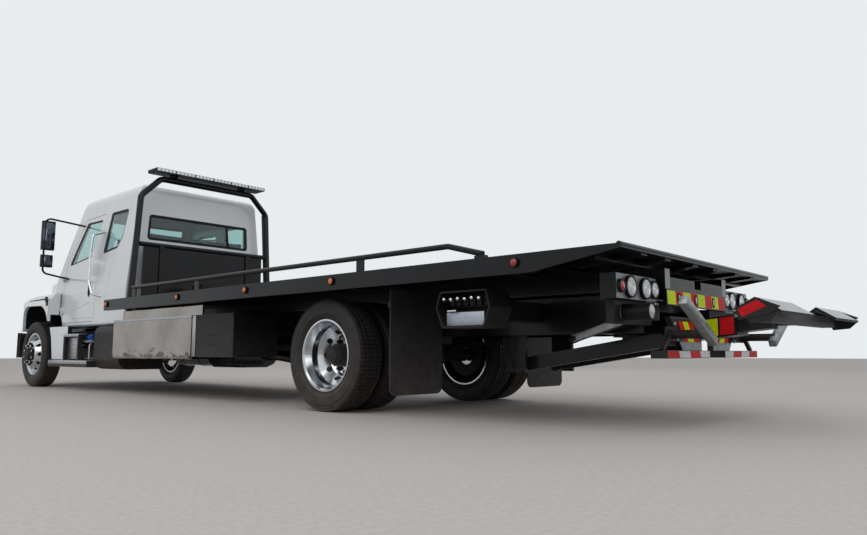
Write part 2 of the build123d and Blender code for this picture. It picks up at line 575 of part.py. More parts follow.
# Hood: a centre body and two fenders, hollow below, tilting forward above the bumper
HOOD_REAR_X = F - 190
HOOD_NOSE_X = F + 880
HOOD_LOW_Z = 800.0
HOOD_WALL = 40.0
HOOD_PIVOT = (F + 900, 790.0)
HOOD_ARM_W = 20.0
HOOD_ARM_Y = (388.0, 388.0 + HOOD_ARM_W)
HOOD_PIN_D = 20.0
HOOD_SIDE = [(HOOD_REAR_X, HOOD_LOW_Z), (HOOD_REAR_X, 1450), (F - 60, 1556, 30), (F + 690, 1335, 160),
             (HOOD_NOSE_X - 25, 1130, 60), (HOOD_NOSE_X, HOOD_LOW_Z)]
HOOD_FRONT = mirrored([(950, HOOD_LOW_Z), (950, 1390, 60), (850, 1560, 130)])
HOOD_PLAN = [(HOOD_REAR_X, -960), (F + 250, -880, 300), (F + 760, -600, 200), (HOOD_NOSE_X, -540, 60),
             (HOOD_NOSE_X, 540, 60), (F + 760, 600, 200), (F + 250, 880, 300), (HOOD_REAR_X, 960)]
FENDER_SIDE = [(F - 480, 860, 30), (F - 485, 1335, 40), (F - 112, 1305), (F + 160, 1312), (F + 400, 1290, 200),
               (F + 720, 1170, 160), (F + 850, 940, 120), (F + 850, HOOD_LOW_Z, 30)]
FENDER_FRONT = [(WHEEL_WALL_Y - 40, HOOD_LOW_Z - 100), (1185, HOOD_LOW_Z - 100), (1185, 1168, 90), (1085, 1325, 70),
                (800, 1345), (WHEEL_WALL_Y - 40, 1345)]
FENDER_PLAN = [(F - 500, 520), (F + 860, 520), (F + 860, 800, 90), (F + 740, 1060, 200), (F + 480, 1182, 260), (F - 500, 1182)]


def hood_centre(inset):
    with BuildPart() as form:
        side_plate(HOOD_SIDE, (-1000, 1000), inset=inset)
        cross_plate(HOOD_FRONT, (F - 600, F + 1100), Mode.INTERSECT, inset)
        plan_plate(HOOD_PLAN, (700, 1700), Mode.INTERSECT, inset)
    return form.part


def fender(inset):
    with BuildPart() as form:
        side_plate(FENDER_SIDE, (500, 1200), inset=inset)
        cross_plate(FENDER_FRONT, (F - 700, F + 1000), Mode.INTERSECT, inset)
        plan_plate(FENDER_PLAN, (700, 1500), Mode.INTERSECT, inset)
    return form.part


LAMP_Y = (640.0, 1120.0)
LAMP_Z = (905.0, 1110.0)
GRILLE_Y = 440.0
GRILLE_Z = (870.0, 1230.0)
bay = hood_centre(HOOD_WALL)
fender_form = fender(0)
with BuildPart() as hood_shell:
    add(hood_centre(0))
    add(fender_form)
    add(fender_form.mirror(Plane.XZ))
    with BuildPart(mode=Mode.PRIVATE) as room:
        add(bay)
        block((HOOD_REAR_X - 10, F + 900), (-WHEEL_WALL_Y + 45, WHEEL_WALL_Y - 45), (HOOD_LOW_Z - 200, 1700), Mode.INTERSECT)
        block((HOOD_REAR_X - 10, F + 830), (-WHEEL_WALL_Y + 45, WHEEL_WALL_Y - 45), (HOOD_LOW_Z - 10, HOOD_LOW_Z + 60))
        block((HOOD_REAR_X - 10, HOOD_REAR_X + 60), (-WHEEL_WALL_Y + 45, WHEEL_WALL_Y - 45), (HOOD_LOW_Z - 10, 1440))
    add(room.part, mode=Mode.SUBTRACT)
    block((F - 700, HOOD_REAR_X), (-996, 996), (HOOD_LOW_Z - 100, 1700), Mode.SUBTRACT)
    block((F - 700, HINGE_X + 60), (-HINGE_Y - 22, HINGE_Y + 22), (HOOD_LOW_Z - 100, 1700), Mode.SUBTRACT)
    for low, high in ((WHEEL_WALL_Y, 1200), (-1200, -WHEEL_WALL_Y)):
        side_plate(ARCH, (low, high), Mode.SUBTRACT)
    for low, high in ((WHEEL_WALL_Y, 1140), (-1140, -WHEEL_WALL_Y)):
        side_plate([(F - 560, 700), (F - 440, 1190, 200), (F - 200, 1262, 100), (F + 380, 1250, 150), (F + 500, 1150, 90), (F + 500, 700)],
                   (low, high), Mode.SUBTRACT)
    block((F + 700, F + 1000), (-GRILLE_Y, GRILLE_Y), GRILLE_Z, Mode.SUBTRACT)
    for side in (1, -1):
        block((F + 560, F + 1000), sorted((side * LAMP_Y[0], side * LAMP_Y[1])), LAMP_Z, Mode.SUBTRACT)
    for low in (-HOOD_ARM_Y[1], HOOD_ARM_Y[0]):
        block((HOOD_NOSE_X - 40, HOOD_PIVOT[0]), (low, low + HOOD_ARM_W), (HOOD_PIVOT[1] - 15, HOOD_LOW_Z))
        rod((HOOD_PIVOT[0], low, HOOD_PIVOT[1]), (HOOD_PIVOT[0], low + HOOD_ARM_W, HOOD_PIVOT[1]), 38)
        rod((HOOD_PIVOT[0], low, HOOD_PIVOT[1]), (HOOD_PIVOT[0], low + HOOD_ARM_W, HOOD_PIVOT[1]),
            HOOD_PIN_D + 2 * BEARING_GAP, Mode.SUBTRACT)
hood_shell.part.label = "hood_shell"
export_step(hood_shell.part, "parts/hood_shell.step")

# Grille with cross bars, and headlamps that follow the fenders' corners
with BuildPart() as grille:
    block((HOOD_NOSE_X - 78, HOOD_NOSE_X - 58), (-GRILLE_Y, GRILLE_Y), GRILLE_Z)
    for row in range(7):
        z = GRILLE_Z[0] + 26 + row * 51
        block((HOOD_NOSE_X - 60, HOOD_NOSE_X - 22), (-GRILLE_Y, GRILLE_Y), (z, z + 24))
    for y in (-GRILLE_Y, GRILLE_Y - 26):
        block((HOOD_NOSE_X - 60, HOOD_NOSE_X - 18), (y, y + 26), GRILLE_Z)
grille.part.label = "grille"
export_step(grille.part, "parts/grille.step")

with BuildPart() as headlamps:
    add(fender_form)
    block((F + 560, F + 1000), (LAMP_Y[0] + GAP, LAMP_Y[1] - GAP), (LAMP_Z[0] + GAP, LAMP_Z[1] - GAP), Mode.INTERSECT)
    add(fender(70), mode=Mode.SUBTRACT)
    block((F + 560, F + 600), (500, 1200), (700, 1300), Mode.SUBTRACT)
    mirror(about=Plane.XZ)
headlamps.part.label = "headlamps"
export_step(headlamps.part, "parts/headlamps.step")

# Bumper, bowed back at its ends and held to the rails
BUMPER_X = OVERALL_LENGTH / 2
BUMPER_Z = (410.0, 780.0)
PLATE_HOLE_PITCH = 178.0
PLATE_HOLE_D = 7.0
PLATE_HOLE_Z = 735.0
BUMPER_BOW = [(BUMPER_X - 330, 1180), (BUMPER_X - 90, 1010), (BUMPER_X, 700), (BUMPER_X, -700),
              (BUMPER_X - 90, -1010), (BUMPER_X - 330, -1180)]
with BuildPart() as front_bumper:
    plan_plate(BUMPER_BOW[:1] + [(x, y, 120) for x, y in BUMPER_BOW[1:5]] + BUMPER_BOW[5:]
               + [(BUMPER_X - 370, -1150), (BUMPER_X - 130, -985, 100), (BUMPER_X - 45, -690, 100),
                  (BUMPER_X - 45, 690, 100), (BUMPER_X - 130, 985, 100), (BUMPER_X - 370, 1150)], BUMPER_Z)
    block((BUMPER_X - 60, BUMPER_X + 10), (-330, 330), (540, 660), Mode.SUBTRACT)
    for side in (1, -1):
        rod((BUMPER_X - 60, side * PLATE_HOLE_PITCH / 2, PLATE_HOLE_Z), (BUMPER_X + 10, side * PLATE_HOLE_PITCH / 2, PLATE_HOLE_Z),
            PLATE_HOLE_D, Mode.SUBTRACT)
    for low in (-RAIL_Y[1], RAIL_Y[0]):
        block((FRAME_FRONT_X, BUMPER_X - 44), (low, low + 75), (RAIL_Z[0] + 20, BUMPER_Z[1] - 30))
        for ear in (low, low + 75 - 20):
            block((HOOD_PIVOT[0] - 12, BUMPER_X - 44), (ear, ear + 20), (BUMPER_Z[1] - 30, HOOD_PIVOT[1] + 14))
        rod((HOOD_PIVOT[0], low, HOOD_PIVOT[1]), (HOOD_PIVOT[0], low + 75, HOOD_PIVOT[1]), HOOD_PIN_D)
front_bumper.part.label = "front_bumper"
export_step(front_bumper.part, "parts/front_bumper.step")

TANK_X = (F - 1930, F - 1000)
TANK_Y = (500.0, 1060.0)
TANK_Z = (300.0, 670.0)
STRAP = 8.0
STRAP_X = (F - 1640, F - 1190)
# Below the cab: fairing behind the front wheel, steps, tank and rear box on each side
with BuildPart() as cab_steps:
    side_plate([(F - 650, 400, 40), (F - 590, 690), (F - 520, 834), (F - 1140, 834), (F - 1140, 400, 40)], (1090, 1150))
    for x in (F - 1100, F - 760):
        block((x, x + 40), (RAIL_Y[1], 1090), (700, 760))
    for x, z, depth in (((F - 1930, F - 660), 300, 80), ((F - 1640, F - 1145), 690, 34)):
        block(x, (1080, 1200), (z, z + depth))
    for x in STRAP_X:
        block((x, x + 40), (1152, 1198), (340, 700))
        block((x, x + 40), (TANK_Y[1] + STRAP + GAP, 1152), (430, 540))
    mirror(about=Plane.XZ)
cab_steps.part.label = "cab_steps"
export_step(cab_steps.part, "parts/cab_steps.step")

TANK_OUTLINE = [(y, z, 120) for y, z in ((TANK_Y[0], TANK_Z[0]), (TANK_Y[1], TANK_Z[0]),
                                         (TANK_Y[1], TANK_Z[1]), (TANK_Y[0], TANK_Z[1]))]
with BuildPart() as fuel_tank:
    cross_plate(TANK_OUTLINE, TANK_X)
    for x in STRAP_X:
        cross_plate(TANK_OUTLINE, (x - 5, x + 45), inset=-STRAP)
        block((x - 5, x + 45), (RAIL_Y[1], 600), (660, 740))
    mirror(about=Plane.XZ)
fuel_tank.part.label = "fuel_tank"
export_step(fuel_tank.part, "parts/fuel_tank.step")

SIDE_BOX_X = (F - 2640, F - 1934)
REAR_BOX_X = (R + 1360, R + 2050)
with BuildPart() as side_boxes:
    cross_plate([(560, 280, 40), (1120, 280, 130), (1120, 820, 90), (560, 820, 40)], SIDE_BOX_X)
    block((SIDE_BOX_X[0] + 40, SIDE_BOX_X[1] - 40), (RAIL_Y[1], 562), (650, 800))
    block(REAR_BOX_X, (680, 1190), (440, 870))
    block((REAR_BOX_X[0] + 60, REAR_BOX_X[1] - 60), (RAIL_Y[1], 680), (660, 820))
    mirror(about=Plane.XZ)
side_boxes.part.label = "side_boxes"
export_step(side_boxes.part, "parts/side_boxes.step")

# Toolboxes with drop doors, and the closed boxes behind them
TOOLBOX_X = (R + 2130, CAB_BACK_X - 190)
TOOLBOX_Y = (680.0, 1200.0)
TOOLBOX_Z = (420.0, 870.0)
TOOLBOX_WALL = 12.0
TOOLBOX_DOOR = 20.0
TOOLBOX_HINGE = (TOOLBOX_Y[1] - 1, TOOLBOX_Z[0] + 12)
TOOLBOX_PIN_D = 8.0
TOOLBOX_KNUCKLE_D = 14.0
KNUCKLE_COUNT = 5
KNUCKLE_W = (TOOLBOX_X[1] - TOOLBOX_X[0] - 60) / KNUCKLE_COUNT


def toolbox_knuckles(side, first):
    """Every second knuckle of a toolbox door's long hinge, from its first one on."""
    for row in range(first, KNUCKLE_COUNT, 2):
        low = TOOLBOX_X[0] + 30 + row * KNUCKLE_W
        high = low + KNUCKLE_W - GAP
        rod((low, side * TOOLBOX_HINGE[0], TOOLBOX_HINGE[1]), (high, side * TOOLBOX_HINGE[0], TOOLBOX_HINGE[1]),
            TOOLBOX_KNUCKLE_D)
        yield low, high


with BuildPart() as toolboxes:
    block(TOOLBOX_X, (TOOLBOX_Y[0], TOOLBOX_Y[1] - TOOLBOX_DOOR - GAP), TOOLBOX_Z)
    block((TOOLBOX_X[0] + TOOLBOX_WALL, TOOLBOX_X[1] - TOOLBOX_WALL), (TOOLBOX_Y[0] + TOOLBOX_WALL, TOOLBOX_Y[1]),
          (TOOLBOX_Z[0] + TOOLBOX_WALL, TOOLBOX_Z[1] - TOOLBOX_WALL), Mode.SUBTRACT)
    block((TOOLBOX_X[0] - 140, TOOLBOX_X[1] - 150), (TOOLBOX_Y[1] - 60, TOOLBOX_Y[1] - 40), (TOOLBOX_Z[1], 975))
    for x in (TOOLBOX_X[0] + 200, TOOLBOX_X[1] - 260):
        block((x, x + 60), (RAIL_Y[1], TOOLBOX_Y[0]), (640, 820))
    for low, high in toolbox_knuckles(1, 0):
        block((low, high), (TOOLBOX_Y[1] - 40, TOOLBOX_HINGE[0]), (TOOLBOX_HINGE[1] - 7, TOOLBOX_HINGE[1] - 1))
    rod((TOOLBOX_X[0] + 30, *TOOLBOX_HINGE), (TOOLBOX_X[1] - 30 - GAP, *TOOLBOX_HINGE), TOOLBOX_PIN_D)
    mirror(about=Plane.XZ)
toolboxes.part.label = "toolboxes"
export_step(toolboxes.part, "parts/toolboxes.step")

for name, side in SIDES:
    with BuildPart() as toolbox_door:
        block((TOOLBOX_X[0] + 2, TOOLBOX_X[1] - 2), sorted((side * (TOOLBOX_Y[1] - TOOLBOX_DOOR), side * TOOLBOX_Y[1])),
              (TOOLBOX_HINGE[1] + 9, TOOLBOX_Z[1]))
        for low, high in toolbox_knuckles(side, 1):
            block((low, high), sorted((side * (TOOLBOX_Y[1] - 13), side * (TOOLBOX_Y[1] - 1))),
                  (TOOLBOX_HINGE[1], TOOLBOX_HINGE[1] + 10))
        rod((TOOLBOX_X[0], side * TOOLBOX_HINGE[0], TOOLBOX_HINGE[1]),
            (TOOLBOX_X[1], side * TOOLBOX_HINGE[0], TOOLBOX_HINGE[1]), TOOLBOX_PIN_D + 2 * BEARING_GAP, Mode.SUBTRACT)
    toolbox_door.part.label = f"toolbox_door_{name}"
    export_step(toolbox_door.part, f"parts/toolbox_door_{name}.step")

# Hoop behind the cab on a foot across the rails, with a headboard between its posts
HOOP_FOOT_Y = 1015.0
HOOP_TOP_Z = 2709.0
HEADBOARD_Z = (1010.0, 1842.0)
with BuildPart() as hoop:
    pipe([(HOOP_X, HOOP_FOOT_Y, 930), (HOOP_X, 930, 2456), (HOOP_X, 675, HOOP_TOP_Z), (HOOP_X, -675, HOOP_TOP_Z),
          (HOOP_X, -930, 2456), (HOOP_X, -HOOP_FOOT_Y, 930)], 110, HOOP_TUBE)
    block((HOOP_X - 50, HOOP_X + 50), (-HOOP_FOOT_Y - 40, HOOP_FOOT_Y + 40), (RAIL_Z[1], RAIL_Z[1] + 60))
    rod((HOOP_X, -918, HEADBOARD_Z[1]), (HOOP_X, 918, HEADBOARD_Z[1]), 60)
    block((HOOP_X - 12, HOOP_X + 12), (-870, 870), HEADBOARD_Z)
    block((HOOP_X - 20, HOOP_X + 20), (-967, 967), (HEADBOARD_Z[0], HEADBOARD_Z[0] + 60))
    for side in (1, -1):
        block((HOOP_X - 30, HOOP_X + 30), sorted((side * 600, side * 660)), (RAIL_Z[1] + 60, HEADBOARD_Z[1] - 10))
hoop.part.label = "hoop"
export_step(hoop.part, "parts/hoop.step")

# Bolted strips between the hoop and the cab, one beside each post
with BuildPart() as hoop_strips:
    cross_plate([(888, 2460), (945, 2460), (1033, 1180), (1045, 1010), (982, 1010), (970, 1180)],
                (HOOP_X + HOOP_TUBE / 2 + GAP, HOOP_X + HOOP_TUBE / 2 + 8))
    for y, z in ((921, 2300), (952, 1850), (987, 1400), (1005, 1120)):
        rod((HOOP_X + HOOP_TUBE / 2, y, z), (HOOP_X + HOOP_TUBE / 2 + 20, y, z), 14, Mode.SUBTRACT)
    mirror(about=Plane.XZ)
hoop_strips.part.label = "hoop_strips"
export_step(hoop_strips.part, "parts/hoop_strips.step")

with BuildPart() as light_bar:
    cross_plate(mirrored([(810, HOOP_TOP_Z + 62, 14), (816, HOOP_TOP_Z + 112, 20)]), (HOOP_X - 130, HOOP_X + 90))
    for side in (1, -1):
        block((HOOP_X - 50, HOOP_X + 50), sorted((side * 470, side * 540)), (HOOP_TOP_Z + HOOP_TUBE / 2, HOOP_TOP_Z + 64))
    for row in range(1, 6):
        y = -810 + row * 270
        block((HOOP_X - 131, HOOP_X + 91), (y - 3, y + 3), (HOOP_TOP_Z + 82, HOOP_TOP_Z + 113), Mode.SUBTRACT)
light_bar.part.label = "light_bar"
export_step(light_bar.part, "parts/light_bar.step")

# Mud flaps behind the rear wheels, hung from a bar on the rails
FLAP_X = R - 790
with BuildPart() as mudflaps:
    cross_plate([(610, 160, 60), (1200, 160, 60), (1200, 965), (610, 965)], (FLAP_X - 12, FLAP_X))
    block((FLAP_X, FLAP_X + 30), (RAIL_Y[1], 1190), (830, 870))
    mirror(about=Plane.XZ)
mudflaps.part.label = "mudflaps"
export_step(mudflaps.part, "parts/mudflaps.step")

# Control boxes: a six-sided face and a body that tapers inward
CONTROL_FACE = [(R - 1346, 912, 20), (R - 1758, 912, 20), (R - 1790, 793, 20), (R - 1735, 655, 20), (R - 1364, 655, 20), (R - 1308, 800, 20)]
with BuildPart() as control_boxes:
    side_plate(CONTROL_FACE, (1000, 1250))
    side_plate(CONTROL_FACE, (1080, 1260), Mode.SUBTRACT, 12)
    block((R - 1650, R - 1450), (RAIL_Y[1], 1000), (720, 860))
    mirror(about=Plane.XZ)
control_boxes.part.label = "control_boxes"
export_step(control_boxes.part, "parts/control_boxes.step")

# Rear light boxes on arms from the rails, with round lamps
LIGHT_BOX_X = (T + 129, T + 236)
with BuildPart() as light_boxes:
    block(LIGHT_BOX_X, (574, 1125), (812, 968))
    block((LIGHT_BOX_X[1] - 60, LIGHT_BOX_X[1]), (560, 1060), (664, 812))
    block((LIGHT_BOX_X[1] - 60, FRAME_REAR_X + 100), (RAIL_Y[1], 560), (700, 812))
    mirror(about=Plane.XZ)
light_boxes.part.label = "light_boxes"
export_step(light_boxes.part, "parts/light_boxes.step")

LAMP_ROW = ((1074, 76), (958, 133), (754, 133), (634, 110))
with BuildPart() as rear_lamps:
    for y, diameter in LAMP_ROW:
        rod((LIGHT_BOX_X[0] - 16, y, 890), (LIGHT_BOX_X[0], y, 890), diameter)
    rod((LIGHT_BOX_X[1] - 240, 940, 735), (LIGHT_BOX_X[1] - 60, 940, 735), 100)
    mirror(about=Plane.XZ)
rear_lamps.part.label = "rear_lamps"
export_step(rear_lamps.part, "parts/rear_lamps.step")

# Tilt frame: two rails outside the chassis rails, hinged on a pin at the rear, with wear pads on top
TILT_FRONT_X = DECK_FRONT_X - 120
TILT_REAR_X = T + 83
PAD_H = 5.0
TAIL_RIBS = ((180.0, 995.0), (625.0, 1032.0), (960.0, 1032.0))
SLIDE_Z = 985.0
SLIDE_BARREL_X = (R - 400, R + 3700)
SLIDE_BARREL_D = 90.0
SLIDE_ROD_D = 50.0
with BuildPart() as tilt_frame:
    for low in (-TILT_RAIL_Y[1], TILT_RAIL_Y[0]):
        block((TILT_REAR_X, TILT_FRONT_X), (low, low + TILT_RAIL_Y[1] - TILT_RAIL_Y[0]), TILT_RAIL_Z)
        for x in (T + 873, R - 100, R + 1700, R + 3400):
            block((x, x + 160), (low + 5, low + 75), (TILT_RAIL_Z[1], TILT_RAIL_Z[1] + PAD_H - GAP))
    for x in (T + 573, R - 1100, R - 150, TILT_EYE[0] + 70, R + 1500, R + 2500, TILT_FRONT_X - 80):
        block((x, x + 80), (-TILT_RAIL_Y[0], TILT_RAIL_Y[0]), (TILT_RAIL_Z[0], TILT_RAIL_Z[0] + 28))
    block((TILT_REAR_X, TILT_REAR_X + 20), (-TILT_RAIL_Y[0], TILT_RAIL_Y[0]), (TILT_RAIL_Z[0], TAIL_RIBS[0][1] - 10))
    block((TILT_REAR_X - 5, TILT_REAR_X + 25), (-55, 55), (SLIDE_Z - 56, TILT_RAIL_Z[1] + 5), Mode.SUBTRACT)
    block((TILT_REAR_X, TILT_REAR_X + 30), (-521, 521), (800, TILT_RAIL_Z[0]))
    for side in (1, -1):
        rod((TILT_PIVOT_X, side * 398, TILT_PIVOT_Z), (TILT_PIVOT_X, side * 500, TILT_PIVOT_Z), TILT_PIN_D)
        lug_pair((TILT_EYE[0] - 40, TILT_EYE[0] + 90), side * CYLINDER_Y, (TILT_EYE[1] - 40, TILT_EYE[1] + 40))
    for x in (R - 150, R + 1500, R + 2500, TILT_FRONT_X - 80):
        block((x, x + 80), (-40, 40), (TILT_RAIL_Z[0] + 28, SLIDE_Z))
    rod((SLIDE_BARREL_X[0], 0, SLIDE_Z), (SLIDE_BARREL_X[1], 0, SLIDE_Z), SLIDE_BARREL_D)
    rod((SLIDE_BARREL_X[0], 0, SLIDE_Z), (SLIDE_BARREL_X[1] - 40, 0, SLIDE_Z), SLIDE_ROD_D + 1, Mode.SUBTRACT)
tilt_frame.part.label = "tilt_frame"
export_step(tilt_frame.part, "parts/tilt_frame.step")

# Deck: plate, crossmembers, runners on the tilt frame, guide sills and side channels that taper at the tail
DECK_PLATE_Z = (DECK_TOP_Z - 27, DECK_TOP_Z - 15)
CROSS_Z = (TILT_RAIL_Z[1] + PAD_H, DECK_PLATE_Z[0])
CHANNEL_X = (DECK_TAIL_X, CAB_BACK_X - 113)
CHANNEL_Y = (DECK_HALF_W - 60, DECK_HALF_W)
CHANNEL_Z = (DECK_TOP_Z - DECK_RAIL_H, DECK_TOP_Z)
TAIL_RIB_W = 80.0
CHAIN_SLOT_X = (DECK_TAIL_X + 330, DECK_TAIL_X + 1210, DECK_TAIL_X + 2530, DECK_TAIL_X + 5170)
CHAIN_SLOT_Y = 1060.0
CROSS_PITCH = 440.0
CROSS_COUNT = 15
with BuildPart() as deck:
    block((DECK_TAIL_X, DECK_FRONT_X), (-CHANNEL_Y[0] - 1, CHANNEL_Y[0] + 1), DECK_PLATE_Z)
    for row in range(CROSS_COUNT):
        x = DECK_TAIL_X + 200 + row * CROSS_PITCH
        block((x, x + 50), (-CHANNEL_Y[0], CHANNEL_Y[0]), CROSS_Z)
    for side in (1, -1):
        block((DECK_TAIL_X + 250, DECK_FRONT_X - 40), sorted((side * 465, side * 535)), CROSS_Z)
        block((DECK_TAIL_X + 480, DECK_FRONT_X - 40), sorted((side * 548, side * 568)), (1010, DECK_PLATE_Z[0]))
        cross_plate([(side * y, z) for y, z in (
            (CHANNEL_Y[0], CHANNEL_Z[0]), (CHANNEL_Y[1], CHANNEL_Z[0]), (CHANNEL_Y[1], CHANNEL_Z[1]), (CHANNEL_Y[0], CHANNEL_Z[1]),
            (CHANNEL_Y[0], CHANNEL_Z[1] - 10), (CHANNEL_Y[1] - 10, CHANNEL_Z[1] - 10),
            (CHANNEL_Y[1] - 10, CHANNEL_Z[0] + 10), (CHANNEL_Y[0], CHANNEL_Z[0] + 10))], CHANNEL_X)
        block((DECK_TAIL_X, DECK_FRONT_X), sorted((side * CHANNEL_Y[0], side * (CHANNEL_Y[1] - 5))), DECK_PLATE_Z)
    side_plate([(DECK_TAIL_X - 10, CHANNEL_Z[0] - 10), (DECK_TAIL_X + 626, CHANNEL_Z[0] - 10), (DECK_TAIL_X + 626, CHANNEL_Z[0]),
                (DECK_TAIL_X, DECK_PLATE_Z[0]), (DECK_TAIL_X - 10, DECK_PLATE_Z[0])], (CHANNEL_Y[0] - 1, CHANNEL_Y[1] + 1), Mode.SUBTRACT)
    side_plate([(DECK_TAIL_X - 10, CHANNEL_Z[0] - 10), (DECK_TAIL_X + 626, CHANNEL_Z[0] - 10), (DECK_TAIL_X + 626, CHANNEL_Z[0]),
                (DECK_TAIL_X, DECK_PLATE_Z[0]), (DECK_TAIL_X - 10, DECK_PLATE_Z[0])], (-CHANNEL_Y[1] - 1, -CHANNEL_Y[0] + 1), Mode.SUBTRACT)
    for y, bottom in TAIL_RIBS:
        for low in (y - TAIL_RIB_W / 2, -y - TAIL_RIB_W / 2):
            side_plate([(DECK_TAIL_X + 20, DECK_PLATE_Z[0]), (DECK_TAIL_X + 20, DECK_PLATE_Z[0] - 14),
                        (DECK_TAIL_X + 470, bottom), (DECK_TAIL_X + 500, bottom), (DECK_TAIL_X + 560, DECK_PLATE_Z[0])],
                       (low, low + TAIL_RIB_W))
    with BuildSketch(Plane.XY.offset(DECK_PLATE_Z[0])) as slots:
        for x in CHAIN_SLOT_X:
            with Locations((x, CHAIN_SLOT_Y), (x, -CHAIN_SLOT_Y)):
                SlotOverall(150, 24)
                Circle(32)
    extrude(slots.sketch, amount=DECK_PLATE_Z[1] - DECK_PLATE_Z[0], mode=Mode.SUBTRACT)
    rod((DECK_TAIL_X + 14, -CHANNEL_Y[1], DECK_TOP_Z - 6), (DECK_TAIL_X + 14, CHANNEL_Y[1], DECK_TOP_Z - 6), 34)
    block((SLIDE_BARREL_X[0] - 160, SLIDE_BARREL_X[0] - 120), (-40, 40), (SLIDE_Z - 45, DECK_PLATE_Z[0]))
    rod((SLIDE_BARREL_X[0] - 130, 0, SLIDE_Z), (SLIDE_BARREL_X[1] - 60, 0, SLIDE_Z), SLIDE_ROD_D)
deck.part.label = "deck"
export_step(deck.part, "parts/deck.step")

# Removable side rails: a tube on two posts, bent down at the rear
SIDE_RAIL_Y = DECK_HALF_W - 27.5
SIDE_RAIL_Z = 1226.0
SIDE_RAIL_D = 42.0
with BuildPart() as side_rails:
    pipe([(R + 3340, SIDE_RAIL_Y, SIDE_RAIL_Z), (R - 1441, SIDE_RAIL_Y, SIDE_RAIL_Z), (R - 1750, SIDE_RAIL_Y, DECK_TOP_Z + 30)],
         80, SIDE_RAIL_D)
    for x in (R + 1885, R - 570, R + 3255):
        block((x, x + 80), (SIDE_RAIL_Y - 8, SIDE_RAIL_Y + 8), (DECK_TOP_Z, SIDE_RAIL_Z))
    block((R - 1780, R - 1690), (SIDE_RAIL_Y - 20, SIDE_RAIL_Y + 20), (DECK_TOP_Z, DECK_TOP_Z + 20))
    mirror(about=Plane.XZ)
side_rails.part.label = "side_rails"
export_step(side_rails.part, "parts/side_rails.step")

BED_LAMP_X = (R + 3935, R + 2261, R + 1013, R - 215, R - 2029)
with BuildPart() as bed_lamps:
    for x in BED_LAMP_X:
        rod((x, DECK_HALF_W, 1060), (x, DECK_HALF_W + 12, 1060), 64)
    mirror(about=Plane.XZ)
bed_lamps.part.label = "bed_lamps"
export_step(bed_lamps.part, "parts/bed_lamps.step")

# Winch at the front of the deck: drum between two end housings on a base
WINCH_X = DECK_FRONT_X - 260
with BuildPart() as winch:
    block((WINCH_X - 150, WINCH_X + 150), (-330, 330), (DECK_PLATE_Z[1], DECK_PLATE_Z[1] + 16))
    for side in (1, -1):
        block((WINCH_X - 110, WINCH_X + 110), sorted((side * 200, side * 310)), (DECK_PLATE_Z[1] + 16, DECK_PLATE_Z[1] + 240))
        rod((WINCH_X, side * 199, DECK_PLATE_Z[1] + 130), (WINCH_X, side * 185, DECK_PLATE_Z[1] + 130), 210)
    rod((WINCH_X, -200, DECK_PLATE_Z[1] + 130), (WINCH_X, 200, DECK_PLATE_Z[1] + 130), 150)
winch.part.label = "winch"
export_step(winch.part, "parts/winch.step")


def cylinder_run(base, eye):
    """Unit direction from a cylinder's base pin to its eye, and the length between them."""
    length = hypot(eye[0] - base[0], eye[1] - base[1])
    return (eye[0] - base[0]) / length, (eye[1] - base[1]) / length, length


def along(base, run, y, distance):
    return (base[0] + run[0] * distance, y, base[1] + run[1] * distance)


# Hydraulic cylinders: barrels on base pins, rods with an eye between the far lugs
BARREL_D = 88.0
ROD_D = 50.0
ROD_GAP = 0.5
for name, base, eye, places, barrel_length in (("tilt", TILT_BASE, TILT_EYE, (CYLINDER_Y, -CYLINDER_Y), 1000.0),
                                               ("lift", LIFT_BASE, LIFT_EYE, (0.0,), 740.0)):
    run = cylinder_run(base, eye)
    with BuildPart() as barrels:
        for y in places:
            rod((base[0], y - CYLINDER_EYE_W / 2, base[1]), (base[0], y + CYLINDER_EYE_W / 2, base[1]), CYLINDER_EYE_D)
            rod(along(base, run, y, 30), along(base, run, y, barrel_length), BARREL_D)
            rod(along(base, run, y, 130), along(base, run, y, barrel_length + 10), ROD_D + 2 * ROD_GAP, Mode.SUBTRACT)
            rod((base[0], y - BARREL_D, base[1]), (base[0], y + BARREL_D, base[1]), CYLINDER_PIN_D + 2 * BEARING_GAP, Mode.SUBTRACT)
            for low in (y - BARREL_D, y + CYLINDER_EYE_W / 2):
                block((base[0] - 60, base[0] + 60), (low, low + BARREL_D - CYLINDER_EYE_W / 2), (base[1] - 60, base[1] + 60), Mode.SUBTRACT)
    barrels.part.label = f"{name}_barrels"
    export_step(barrels.part, f"parts/{name}_barrels.step")
    with BuildPart() as rods:
        for y in places:
            rod(along(base, run, y, 140), along(base, run, y, run[2]), ROD_D)
            rod((eye[0], y - CYLINDER_EYE_W / 2, eye[1]), (eye[0], y + CYLINDER_EYE_W / 2, eye[1]), CYLINDER_EYE_D)
    rods.part.label = f"{name}_rods"
    export_step(rods.part, f"parts/{name}_rods.step")

# Wheel lift: side beams from the pivot to a sleeve, with the stabiliser feet
BOOM_FRONT_X = T + 623
BOOM_REAR_X = T - 207
BOOM_SLOPE_RISE = 0.105
BOOM_Z = 585.4
SLEEVE = (220.0, 138.0)
BOOM_SECTION = (180.0, 100.0)
BOOM_END_X = BOOM_TIP_X + 320
SLIDE_GAP = 0.5


def boom_point(x):
    """Point on the boom's centre line, which rises to the rear."""
    return (x, 0, BOOM_Z + (BOOM_FRONT_X - x) * BOOM_SLOPE_RISE)


